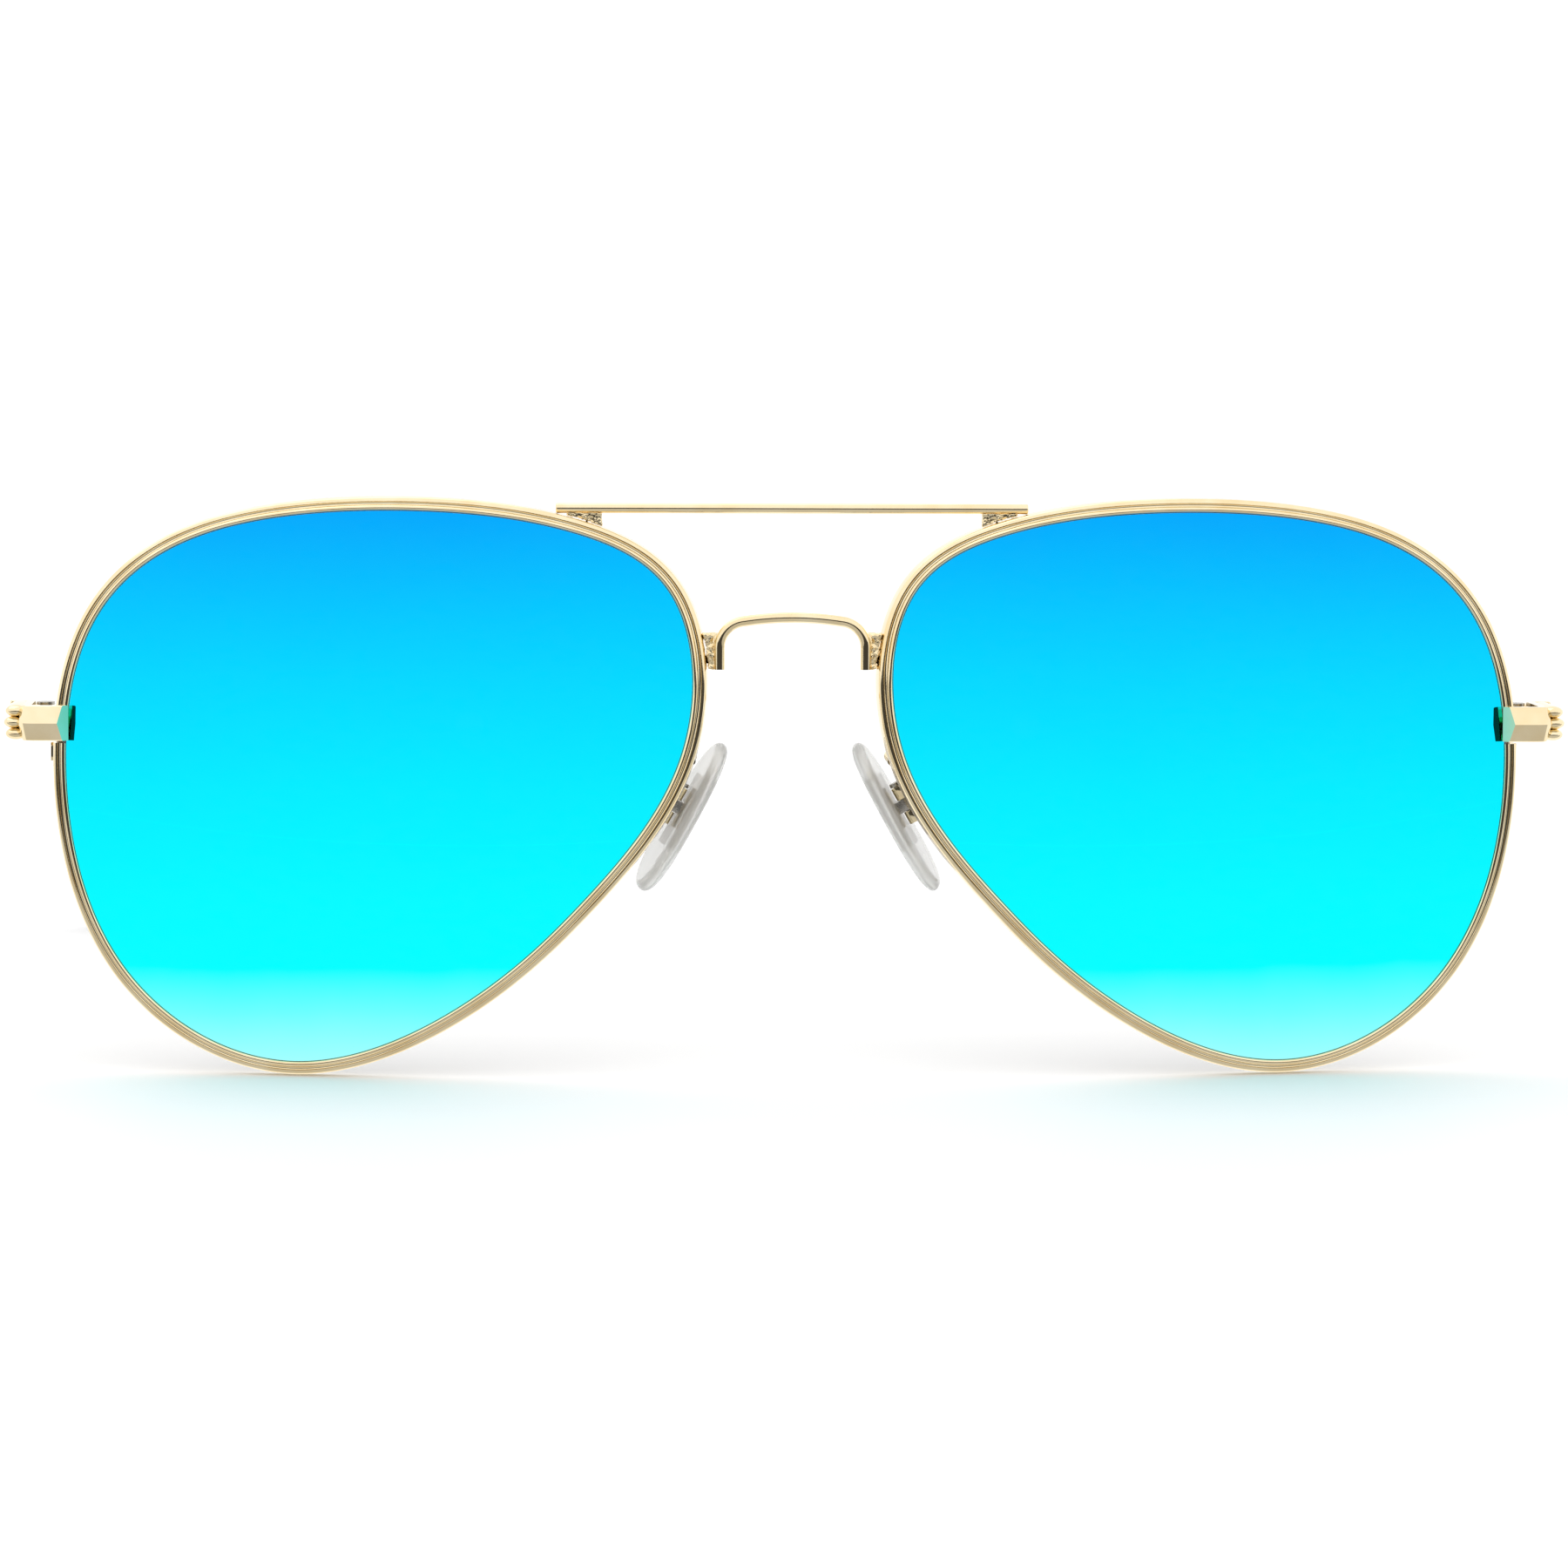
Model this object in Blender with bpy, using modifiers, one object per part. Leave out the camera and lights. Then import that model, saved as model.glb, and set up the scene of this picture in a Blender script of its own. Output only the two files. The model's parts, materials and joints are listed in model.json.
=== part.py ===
"""Aviator sunglasses: a brazed metal frame with mirrored lenses, rocking nose pads and folding temples.

Metres, +Z up. The front faces -Y and the temples run towards +Y. Left and right are the wearer's, so
left is +X. Every left piece is modelled where it belongs, in a working frame whose origin lies between
the lenses, level with their centres, and the right pieces are its mirror images. A root empty then
lifts the working frame, so that the rims and the temple tips rest on z = 0.
"""
import math

import bmesh
import bpy
import numpy as np
from mathutils import Matrix, Vector

MM = 0.001

# Clearances. Brazed and seated pieces keep a hair between them, and turning ones a running gap.
BRAZE_GAP = 0.06 * MM
SEAT_GAP = 0.08 * MM
RUNNING_GAP = 0.07 * MM

# Lenses: two spherical shells, each turned outward a little so that the front follows the face.
LENS_WIDTH = 57.2 * MM
LENS_HEIGHT = 50.3 * MM
LENS_GAP = 18.1 * MM
LENS_RADIUS = 88 * MM
LENS_THICKNESS = 1.8 * MM
LENS_WRAP = math.radians(6)
LENS_LIP = 0.42 * MM
LENS_BEVEL_LAND = 0.2 * MM
LENS_BEVEL_START = 0.35 * MM
# The teardrop, as shares of half the width (towards the temple) and of half the height.
LENS_TEARDROP = [
    (1.0, 0.045), (0.895, 0.62), (0.53, 0.92), (-0.155, 1.0), (-0.63, 0.92), (-0.925, 0.705),
    (-0.965, 0.125), (-0.665, -0.395), (-0.305, -0.76), (0.275, -1.0), (0.805, -0.68),
]

# Rims: grooved eyewires, slit below the end piece and closed there by two blocks and a screw.
RIM_WIDTH = 1.3 * MM
RIM_FRONT = 1.2 * MM
RIM_BACK = 1.15 * MM
RIM_CREST = 0.5 * MM
RIM_SHOULDER = 0.55 * MM
RIM_CHAMFER = 0.35 * MM
RIM_EDGE = 0.25 * MM
RIM_GROOVE_DEPTH = 0.55 * MM
RIM_GROOVE_FLOOR = 0.3 * MM
RIM_SLIT_HEIGHT = 3.75 * MM
RIM_SLIT = 0.25 * MM
RIM_STEP = 2.97 * MM
BLOCK_INSET = 0.15 * MM
BLOCK_WIDTH = 1.6 * MM
BLOCK_GAP = 0.15 * MM
BLOCK_DEPTH = 1.9 * MM
BLOCK_UPPER = 2.8 * MM
BLOCK_LOWER = 1.8 * MM
RIM_SCREW_RADIUS = 0.42 * MM
RIM_SCREW_LENGTH = 3.6 * MM
RIM_SCREW_HEAD = (0.75 * MM, 0.55 * MM)

# Bridge and brow bar: two round wires that join the rims.
BRIDGE_RADIUS = 0.475 * MM
BRIDGE_LEG_OFFSET = 0.58 * MM
BRIDGE_FOOT = 10.8 * MM
BRIDGE_TOP = 15.3 * MM
BRIDGE_CORNER = 2.4 * MM
BRIDGE_BOW = 0.35 * MM
BRIDGE_FORWARD = 0.3 * MM
SADDLE_HEIGHT = 3.3 * MM
SADDLE_DEPTH = 1.7 * MM
SADDLE_WIDTH = 2.0 * MM
BAR_RADIUS = 0.475 * MM
BAR_LENGTH = 43.0 * MM
BAR_EDGE = 0.16 * MM
WEDGE_LENGTH = 3.3 * MM
WEDGE_THICKNESS = 0.8 * MM

# End pieces: ridged straps that turn back round the corner of the front to the hinges.
END_HEIGHT = 3.2 * MM
END_CENTRE = 5.65 * MM
END_THICKNESS = 1.3 * MM
END_RIDGE = 0.45 * MM
END_REACH = 4.7 * MM
END_TIP_DEPTH = 0.3 * MM
END_CORNER = 1.6 * MM
END_RIBS = 3
END_RIB_HALF_HEIGHT = 0.58 * MM
END_RIB_HALF_DEPTH = 0.95 * MM
END_RIB_PROUD = 1.1 * MM
END_RIB_STEP = 0.15 * MM
END_RIB_SHORT = 0.1 * MM

# Hinges: three knuckles on a vertical screw. The temple's end butts the end piece when it is open.
HINGE_SETBACK = 7.85 * MM
KNUCKLE_PROUD = 0.15 * MM
KNUCKLE_RADIUS = 1.05 * MM
KNUCKLE_OUTER = 0.6 * MM
KNUCKLE_MIDDLE = 0.8 * MM
KNUCKLE_CLEARANCE = 0.14 * MM
LEAF_THICKNESS = 0.72 * MM
LEAF_LENGTH = 4.6 * MM
HINGE_SCREW_RADIUS = 0.55 * MM
HINGE_SCREW_HEAD = (0.85 * MM, 0.3 * MM)
HINGE_SCREW_TAIL = 0.15 * MM
BUTT_SETBACK = 0.8 * MM
BUTT_GAP = 0.12 * MM
TEMPLE_STEP = 0.35 * MM

# Temples: flat straps that taper to a wire, which a plastic tip sleeves from before the ear bend on.
TEMPLE_HEIGHT = 3.2 * MM
TEMPLE_HEAD_THICKNESS = 2.0 * MM
TEMPLE_HEAD_LENGTH = 3.5 * MM
TEMPLE_THICKNESS = 1.25 * MM
TEMPLE_WIRE = 1.4 * MM
WIRE_SHOWING = 1.0 * MM
TEMPLE_STRAIGHT = 100 * MM
TEMPLE_SLOPE = math.radians(5)
BEND_RADIUS = 20 * MM
TIP_DROP = math.radians(44)
TIP_BEFORE_BEND = 14 * MM
TIP_INWARD = 2.0 * MM
TIP_INWARD_RUN = 40 * MM
TIP_MOUTH = (1.7 * MM, 1.35 * MM)
TIP_LIP_SHARE = 0.82
TIP_END = (2.6 * MM, 1.4 * MM)
TIP_BORE_GAP = 0.16 * MM
TIP_CORE_CLEAR = 5 * MM
TIP_ROUNDING = 3.0 * MM

# Nose pads: clear cushions on a metal insert, whose lug rocks in a small box on a bent wire arm.
PAD_LENGTH = 15.4 * MM
PAD_WIDTH = 7.4 * MM
PAD_THICKNESS = 1.5 * MM
PAD_TAPER = 0.12
# The cushion's section: heights above its back, as shares of the thickness, and shares of the width.
PAD_SECTION = [(0.0, 0.72), (0.12, 0.88), (0.4, 1.0), (0.62, 0.98), (0.85, 0.86), (0.97, 0.62), (1.0, 0.3)]
PAD_HEIGHT = -2.1 * MM
PAD_HANG = 0.6 * MM
PAD_OFFSET = -1.3 * MM
PAD_SETBACK = 5.8 * MM
PAD_LEAN = math.radians(29.5)
PAD_SPLAY = math.radians(12)
INSERT_LENGTH = 7.2 * MM
INSERT_WIDTH = 2.2 * MM
INSERT_THICKNESS = 0.45 * MM
LUG_RADIUS = 0.6 * MM
LUG_THICKNESS = 1.1 * MM
PAD_AXIS_DEPTH = 0.75 * MM
PAD_SCREW_RADIUS = 0.27 * MM
PAD_SCREW_HEAD = (0.55 * MM, 0.35 * MM)
BOX_CHEEK = 1.2 * MM
BOX_BASE = 0.3 * MM
BOX_FLOOR_GAP = 0.1 * MM
BOX_MOUTH_GAP = 0.25 * MM
BOX_CHAMFER = 0.2 * MM
ARM_RADIUS = 0.45 * MM
ARM_FOOT_HEIGHT = 2.7 * MM
ARM_FOOT_OFFSET = 0.9 * MM
ARM_LOOP = 2.0 * MM

GOLD = ((0.80, 0.66, 0.40), 0.12, 1.0)
STEEL = ((0.55, 0.52, 0.47), 0.25, 1.0)
MIRROR = ((0.0, 0.62, 0.95), 0.04, 0.9)
SILICONE = ((0.90, 0.91, 0.90), 0.25, 0.0)
PLASTIC = ((0.02, 0.02, 0.022), 0.15, 0.0)

REST_HEIGHT = LENS_HEIGHT / 2 + RIM_WIDTH
MIRROR_X = Matrix.Diagonal((-1, 1, 1, 1))
ROUND_SIDES = 24
SLOT_WIDTH_SHARE = 0.3
SLOT_DEPTH_SHARE = 0.5
# The chamfer, as a share of the half width, that turns a square section into an even octagon.
ROUND_CHAMFER = 0.59


def clear_scene():
    for old in list(bpy.data.objects):
        bpy.data.objects.remove(old)


def new_material(name, look):
    colour, roughness, metallic = look
    material = bpy.data.materials.new(name)
    material.use_nodes = True
    shader = material.node_tree.nodes["Principled BSDF"]
    shader.inputs["Base Color"].default_value = (*colour, 1)
    shader.inputs["Roughness"].default_value = roughness
    shader.inputs["Metallic"].default_value = metallic
    return material


def new_object(name, data):
    piece = bpy.data.objects.new(name, data)
    PARTS.objects.link(piece)
    return piece


def apply_modifiers(piece):
    """Replaces the piece by the closed mesh that it evaluates to, and returns it."""
    bpy.context.view_layer.update()
    evaluated = piece.evaluated_get(bpy.context.evaluated_depsgraph_get())
    mesh = bpy.data.meshes.new_from_object(evaluated)
    solid = bmesh.new()
    solid.from_mesh(mesh)
    bmesh.ops.remove_doubles(solid, verts=solid.verts, dist=1e-7)
    bmesh.ops.recalc_face_normals(solid, faces=solid.faces)
    solid.to_mesh(mesh)
    solid.free()
    name = piece.name
    matrix = piece.matrix_world.copy()
    bpy.data.objects.remove(piece)
    done = new_object(name, mesh)
    done.matrix_world = matrix
    return done


def boolean(piece, tool, operation="DIFFERENCE"):
    """Cuts the tool from the piece, or joins it, removes the tool and returns the piece."""
    modifier = piece.modifiers.new(operation, "BOOLEAN")
    modifier.operation = operation
    modifier.object = tool
    piece = apply_modifiers(piece)
    bpy.data.objects.remove(tool)
    return piece


def loft(name, rings, matrix=None):
    """A closed solid through rings of equally many points, each end filled."""
    solid = bmesh.new()
    rows = [[solid.verts.new(point) for point in ring] for ring in rings]
    for low, high in zip(rows, rows[1:]):
        for i in range(len(low)):
            j = (i + 1) % len(low)
            solid.faces.new((low[i], low[j], high[j], high[i]))
    solid.faces.new(reversed(rows[0]))
    solid.faces.new(rows[-1])
    bmesh.ops.recalc_face_normals(solid, faces=solid.faces)
    mesh = bpy.data.meshes.new(name)
    solid.to_mesh(mesh)
    solid.free()
    piece = new_object(name, mesh)
    piece.matrix_world = matrix or Matrix()
    return piece


def curve_object(name, points, cyclic=False, flat=False):
    data = bpy.data.curves.new(name, "CURVE")
    data.dimensions = "2D" if flat else "3D"
    spline = data.splines.new("POLY")
    spline.points.add(len(points) - 1)
    for target, point in zip(spline.points, points):
        target.co = (*point, *[0] * (3 - len(point)), 1)
    spline.use_cyclic_u = cyclic
    return new_object(name, data)


def wire(name, points, radius, resolution=2):
    """A round wire along the points, with filled ends."""
    piece = curve_object(name, points)
    piece.data.bevel_depth = radius
    piece.data.bevel_resolution = resolution
    piece.data.use_fill_caps = True
    return apply_modifiers(piece)


def extrusion(name, outline, low, high, matrix=None, hole=None):
    """A flat outline, with an optional hole, extruded along its own Z from low to high."""
    piece = curve_object(name, outline, cyclic=True, flat=True)
    if hole:
        spline = piece.data.splines.new("POLY")
        spline.points.add(len(hole) - 1)
        for target, point in zip(spline.points, hole):
            target.co = (*point, 0, 1)
        spline.use_cyclic_u = True
    piece.data.fill_mode = "BOTH"
    piece.data.extrude = (high - low) / 2
    middle = Matrix.Translation((0, 0, (low + high) / 2))
    piece.matrix_world = (matrix or Matrix()) @ middle
    return apply_modifiers(piece)


def box(name, low, high, matrix=None):
    outline = [(low[0], low[1]), (high[0], low[1]), (high[0], high[1]), (low[0], high[1])]
    return extrusion(name, outline, low[2], high[2], matrix)


def rod(name, radius, low, high, matrix=None, sides=ROUND_SIDES):
    return extrusion(name, circle(radius, sides), low, high, matrix)


def circle(radius, sides=ROUND_SIDES, centre=(0, 0)):
    turns = [2 * math.pi * (i + 0.5) / sides for i in range(sides)]
    return [(centre[0] + radius * math.cos(t), centre[1] + radius * math.sin(t)) for t in turns]


def screw(name, radius, head, length, matrix, sides=ROUND_SIDES):
    """A slotted screw, head up at z = 0 and its shank down to -length."""
    head_radius, head_height = head
    profile = [(0, head_height), (head_radius, head_height), (head_radius, 0), (radius, 0),
               (radius, -length), (0, -length)]
    data = bpy.data.meshes.new(name)
    data.from_pydata([(x, 0, z) for x, z in profile], [(i, i + 1) for i in range(5)], [])
    piece = new_object(name, data)
    turn = piece.modifiers.new("turn", "SCREW")
    turn.steps = turn.render_steps = sides
    turn.use_merge_vertices = True
    turn.merge_threshold = 1e-6
    piece = apply_modifiers(piece)
    half_slot = SLOT_WIDTH_SHARE * head_radius / 2
    slot_floor = (1 - SLOT_DEPTH_SHARE) * head_height
    slot = box("slot", (-2 * head_radius, -half_slot, slot_floor),
               (2 * head_radius, half_slot, 2 * head_height))
    piece = boolean(piece, slot)
    piece.matrix_world = matrix
    return piece


def spline_round(knots, count):
    """Points along the smooth closed curve through the knots: a periodic cubic spline."""
    knots = np.array(knots)
    size = len(knots)
    steps = np.sqrt(np.linalg.norm(np.roll(knots, -1, 0) - knots, axis=1))
    slopes = (np.roll(knots, -1, 0) - knots) / steps[:, None]
    system = np.zeros((size, size))
    for i in range(size):
        system[i, i - 1] += steps[i - 1]
        system[i, i] += 2 * (steps[i - 1] + steps[i])
        system[i, (i + 1) % size] += steps[i]
    bends = np.linalg.solve(system, 6 * (slopes - np.roll(slopes, 1, 0)))
    starts = np.concatenate([[0], np.cumsum(steps)])
    points = []
    for place in np.linspace(0, starts[-1], count, endpoint=False):
        i = int(np.searchsorted(starts, place, side="right")) - 1
        j = (i + 1) % size
        b = (place - starts[i]) / steps[i]
        a = 1 - b
        curve = ((a**3 - a) * bends[i] + (b**3 - b) * bends[j]) * steps[i] ** 2 / 6
        points.append(a * knots[i] + b * knots[j] + curve)
    return np.array(points)


class Teardrop:
    """The lens outline in the lens plane: x towards the temple, y up, lengths measured round the edge."""

    def __init__(self):
        points = spline_round(LENS_TEARDROP, 720)
        low, high = points.min(0), points.max(0)
        points = (2 * points - low - high) / (high - low) * (LENS_WIDTH / 2, LENS_HEIGHT / 2)
        tangents = np.roll(points, -1, 0) - np.roll(points, 1, 0)
        tangents /= np.linalg.norm(tangents, axis=1)[:, None]
        self.points = points
        self.normals = np.stack([tangents[:, 1], -tangents[:, 0]], axis=1)
        steps = np.linalg.norm(np.roll(points, -1, 0) - points, axis=1)
        self.places = np.concatenate([[0], np.cumsum(steps)])
        self.length = self.places[-1]

    def at(self, place, offset=0.0):
        """The point at a length round the edge, moved outward by the offset."""
        moved = self.points + offset * self.normals
        moved = np.vstack([moved, moved[:1]])
        place = place % self.length
        return tuple(float(np.interp(place, self.places, moved[:, i])) for i in (0, 1))

    def place_of(self, height, towards_temple):
        """The length round the edge at which a level line crosses one of the two sides."""
        side = self.points[:, 0] > 0 if towards_temple else self.points[:, 0] < 0
        miss = np.where(side, np.abs(self.points[:, 1] - height), 1.0)
        return float(self.places[int(np.argmin(miss))])

    def ring(self, offset, count):
        start = self.place_of(RIM_SLIT_HEIGHT, True)
        return [self.at(start + self.length * i / count, offset) for i in range(count)]


def sag(x, y, radius=LENS_RADIUS):
    """How far a sphere through the lens vertex lies behind it at a point of the lens plane."""
    return radius - math.sqrt(radius**2 - x**2 - y**2)


def edge_depth(x, y):
    """The lens frame's z of the middle of the lens edge."""
    return -sag(x, y) - LENS_THICKNESS / 2


def lens_frame():
    """The place of the left lens: origin at its vertex, x towards the temple, y up, z forward."""
    half = LENS_WIDTH / 2
    spread = LENS_GAP / 2 + half * math.cos(LENS_WRAP) - edge_depth(half, 0) * math.sin(LENS_WRAP)
    turn = Matrix.Rotation(LENS_WRAP, 4, "Z") @ Matrix.Rotation(math.pi / 2, 4, "X")
    return Matrix.Translation((spread, 0, 0)) @ turn


def groove_mouth():
    """The groove's width at the lens edge: the lens's bevel there, where the dome is steepest, and a gap."""
    half = LENS_WIDTH / 2
    rise = sag(half, 0) - sag(half - LENS_BEVEL_START, 0)
    half_land = LENS_BEVEL_LAND / 2
    shoulder = LENS_THICKNESS / 2 + rise - half_land
    return 2 * (half_land + shoulder * LENS_LIP / (LENS_LIP + LENS_BEVEL_START)) + SEAT_GAP


TEARDROP = Teardrop()
LENS_FRAME = lens_frame()
RIM_STEPS = math.ceil(TEARDROP.length / RIM_STEP)


def on_rim(height, towards_temple, offset, forward):
    """A point of the working frame on the rim, outward and forward of the lens edge."""
    place = TEARDROP.place_of(height, towards_temple)
    x, y = TEARDROP.at(place)
    far_x, far_y = TEARDROP.at(place, offset)
    return LENS_FRAME @ Vector((far_x, far_y, edge_depth(x, y) + forward))


def rim_blank(name):
    """The rim's outer outline with a brazing gap, as a thick prism that shapes what is brazed to it."""
    outline = TEARDROP.ring(RIM_WIDTH + BRAZE_GAP, 120)
    return extrusion(name, outline, -20 * MM, 10 * MM, LENS_FRAME)


def lens():
    """Front and back domes with a V edge, which sits in the groove of the rim."""
    edge = TEARDROP.ring(0, RIM_STEPS)
    rings = []
    shares = [0.25, 0.5, 0.75]
    inset = [TEARDROP.ring(-LENS_BEVEL_START, RIM_STEPS)]
    domes = [[(share * x, share * y) for x, y in edge] for share in shares] + inset
    for dome in domes:
        rings.append([(x, y, -sag(x, y)) for x, y in dome])
    lip = TEARDROP.ring(LENS_LIP, RIM_STEPS)
    for side in (1, -1):
        land = side * LENS_BEVEL_LAND / 2
        rings.append([(x, y, edge_depth(*at) + land) for (x, y), at in zip(lip, edge)])
    for dome in reversed(domes):
        rings.append([(x, y, -sag(x, y) - LENS_THICKNESS) for x, y in dome])
    return loft("left_lens", rings, LENS_FRAME)


def rim():
    """The grooved section swept round the lens edge, from one side of the slit to the other."""
    half_mouth = groove_mouth() / 2
    half_floor = RIM_GROOVE_FLOOR / 2
    section = [
        (0, half_mouth), (0, RIM_FRONT - RIM_EDGE), (RIM_CREST / 2, RIM_FRONT - RIM_EDGE / 5),
        (RIM_CREST, RIM_FRONT), (RIM_WIDTH, RIM_FRONT - RIM_SHOULDER),
        (RIM_WIDTH, RIM_CHAMFER - RIM_BACK), (RIM_WIDTH - RIM_CHAMFER, -RIM_BACK),
        (RIM_EDGE, -RIM_BACK), (0, RIM_EDGE - RIM_BACK), (0, -half_mouth),
        (RIM_GROOVE_DEPTH, -half_floor), (RIM_GROOVE_DEPTH, half_floor),
    ]
    start = TEARDROP.place_of(RIM_SLIT_HEIGHT, True) + RIM_SLIT / 2
    run = TEARDROP.length - RIM_SLIT
    rings = []
    for i in range(RIM_STEPS + 1):
        place = start + run * i / RIM_STEPS
        x, y = TEARDROP.at(place)
        depth = edge_depth(x, y)
        rings.append([(*TEARDROP.at(place, out), depth + forward) for out, forward in section])
    return loft("left_rim", rings, LENS_FRAME)


def closing_frame():
    """Where the rim is closed: origin on the rim's back at the slit, z up, x outward."""
    x, y = TEARDROP.at(TEARDROP.place_of(RIM_SLIT_HEIGHT, True))
    back = Vector((x, y, edge_depth(x, y) - RIM_BACK - BLOCK_GAP))
    upright = Matrix.Rotation(-math.pi / 2, 4, "X")
    return LENS_FRAME @ Matrix.Translation(back) @ upright


def closing_blocks():
    """Upper and lower blocks behind the slit, drawn together by the screw from below."""
    frame = closing_frame()
    outer = BLOCK_INSET + BLOCK_WIDTH
    low = (BLOCK_INSET, 0, RIM_SLIT / 2)
    upper = box("left_upper_closing_block", low, (outer, BLOCK_DEPTH, BLOCK_UPPER), frame)
    low = (BLOCK_INSET, 0, -BLOCK_LOWER)
    lower = box("left_lower_closing_block", low, (outer, BLOCK_DEPTH, -RIM_SLIT / 2), frame)
    axis = frame @ Matrix.Translation((BLOCK_INSET + BLOCK_WIDTH / 2, BLOCK_DEPTH / 2, 0))
    shank_top = RIM_SCREW_LENGTH - BLOCK_LOWER - SEAT_GAP
    bore = RIM_SCREW_RADIUS + SEAT_GAP
    upper = boolean(upper, rod("drill", bore, -MM, shank_top + SEAT_GAP, axis))
    lower = boolean(lower, rod("drill", bore, -BLOCK_LOWER - MM, 0, axis))
    seat = Matrix.Translation((0, 0, -BLOCK_LOWER - SEAT_GAP)) @ Matrix.Rotation(math.pi, 4, "X")
    fastener = screw("left_rim_screw", RIM_SCREW_RADIUS, RIM_SCREW_HEAD, RIM_SCREW_LENGTH, axis @ seat)
    return upper, lower, fastener


def rounded(corners, radius, steps=5):
    """An open path through the corners with each inner corner turned into an arc."""
    path = [Vector(corners[0])]
    for before, corner, after in zip(corners, corners[1:], corners[2:]):
        corner = Vector(corner)
        into = (Vector(before) - corner).normalized()
        out = (Vector(after) - corner).normalized()
        half = into.angle(out) / 2
        cut = radius / math.tan(half)
        centre = corner + (into + out).normalized() * (radius / math.sin(half))
        first = (corner + into * cut - centre).normalized()
        last = (corner + out * cut - centre).normalized()
        path += [centre + radius * first.slerp(last, i / steps) for i in range(steps + 1)]
    return path + [Vector(corners[-1])]


def bridge_leg():
    """The centre of the bridge's left leg: beside the most nasal point of the rim."""
    nearest = min((LENS_FRAME @ Vector((x, y, edge_depth(x, y))) for x, y in
                   TEARDROP.ring(RIM_WIDTH, 240)), key=lambda point: point.x)
    return nearest.x - BRIDGE_LEG_OFFSET - BRIDGE_RADIUS, nearest.y - BRIDGE_FORWARD


def bridge():
    """An arch of round wire: straight legs, round shoulders and a slightly bowed top."""
    x, y = bridge_leg()
    corners = [(-x, y, BRIDGE_FOOT), (-x, y, BRIDGE_TOP - BRIDGE_BOW), (0, y, BRIDGE_TOP + BRIDGE_BOW),
               (x, y, BRIDGE_TOP - BRIDGE_BOW), (x, y, BRIDGE_FOOT)]
    shoulders = rounded(corners[:3], BRIDGE_CORNER)[:-1]
    mirrored = [Vector((-p.x, p.y, p.z)) for p in reversed(shoulders)]
    start, end = shoulders[-1], mirrored[0]
    top = [Vector((start.x + (end.x - start.x) * t, y, start.z + 4 * t * (1 - t) * BRIDGE_BOW))
           for t in (0.17, 0.34, 0.5, 0.66, 0.83)]
    return wire("bridge", shoulders + top + mirrored, BRIDGE_RADIUS)


def bridge_saddle():
    """The brazed block between the rim and the bridge's leg, cut to fit both."""
    x, y = bridge_leg()
    low = (x, y - 0.4 * BRIDGE_RADIUS, BRIDGE_FOOT)
    high = (x + SADDLE_WIDTH, low[1] + SADDLE_DEPTH, low[2] + SADDLE_HEIGHT)
    block = boolean(box("left_bridge_saddle", low, high), rim_blank("rim_blank"))
    leg = Matrix.Translation((x, y, 0))
    return boolean(block, rod("leg", BRIDGE_RADIUS + BRAZE_GAP, 0, 2 * BRIDGE_TOP, leg))


def bar_place():
    """Height and depth of the brow bar's centre: its ends lie on top of the rims."""
    end = BAR_LENGTH / 2 - BAR_RADIUS
    rim_tops = [LENS_FRAME @ Vector((x, y, edge_depth(x, y))) for x, y in
                TEARDROP.ring(RIM_WIDTH, 360) if y > 0]
    under = min(rim_tops, key=lambda point: abs(point.x - end))
    return under.z + BAR_RADIUS + 2 * BRAZE_GAP, under.y


def brow_bar():
    """A straight round bar with flat ends and chamfered edges."""
    height, depth = bar_place()
    half = BAR_LENGTH / 2
    end = [(half, BAR_RADIUS - BAR_EDGE), (half - BAR_EDGE, BAR_RADIUS)]
    stations = end + [(-x, size) for x, size in reversed(end)]
    spots = circle(1, 12)
    rings = [[(x, depth + size * a, height + size * b) for a, b in spots] for x, size in stations]
    return loft("brow_bar", rings)


def brow_bar_wedge():
    """The brazed fillet that fills the narrowing gap between the bar's end and the rim."""
    height, depth = bar_place()
    outer = BAR_LENGTH / 2 - 2 * BAR_RADIUS
    low = (outer - WEDGE_LENGTH, depth - WEDGE_THICKNESS / 2, height - WEDGE_LENGTH)
    high = (outer, depth + WEDGE_THICKNESS / 2, height)
    wedge = boolean(box("left_brow_bar_wedge", low, high), rim_blank("rim_blank"))
    along = Matrix.Translation((0, depth, height)) @ Matrix.Rotation(math.pi / 2, 4, "Y")
    return boolean(wedge, rod("bar", BAR_RADIUS + BRAZE_GAP, 0, BAR_LENGTH, along, 16))


def end_piece_plan():
    """The strap's inner line from above: tip x, front y, leg x and the y of its end."""
    half = END_HEIGHT / 2
    heights = [END_CENTRE + half * share for share in (-1, -0.5, 0, 0.5, 1)]
    tip_x = min(on_rim(height, True, 0, RIM_FRONT).x for height in heights)
    on_front = [on_rim(height, True, out, RIM_FRONT) for height in heights for out in (0, RIM_WIDTH)]
    front_y = min(point.y for point in on_front)
    leg_x = tip_x + END_REACH - END_THICKNESS
    return tip_x, front_y - BRAZE_GAP, leg_x, front_y + HINGE_SETBACK - BUTT_SETBACK


def hinge_axis():
    _, _, leg_x, end_y = end_piece_plan()
    return Vector((leg_x - hinge_inset(), end_y + BUTT_SETBACK, END_CENTRE))


def hinge_inset():
    """How far the axis lies inside the end piece's leg: the knuckles stand a little proud of its face."""
    return KNUCKLE_RADIUS - KNUCKLE_PROUD


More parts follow.
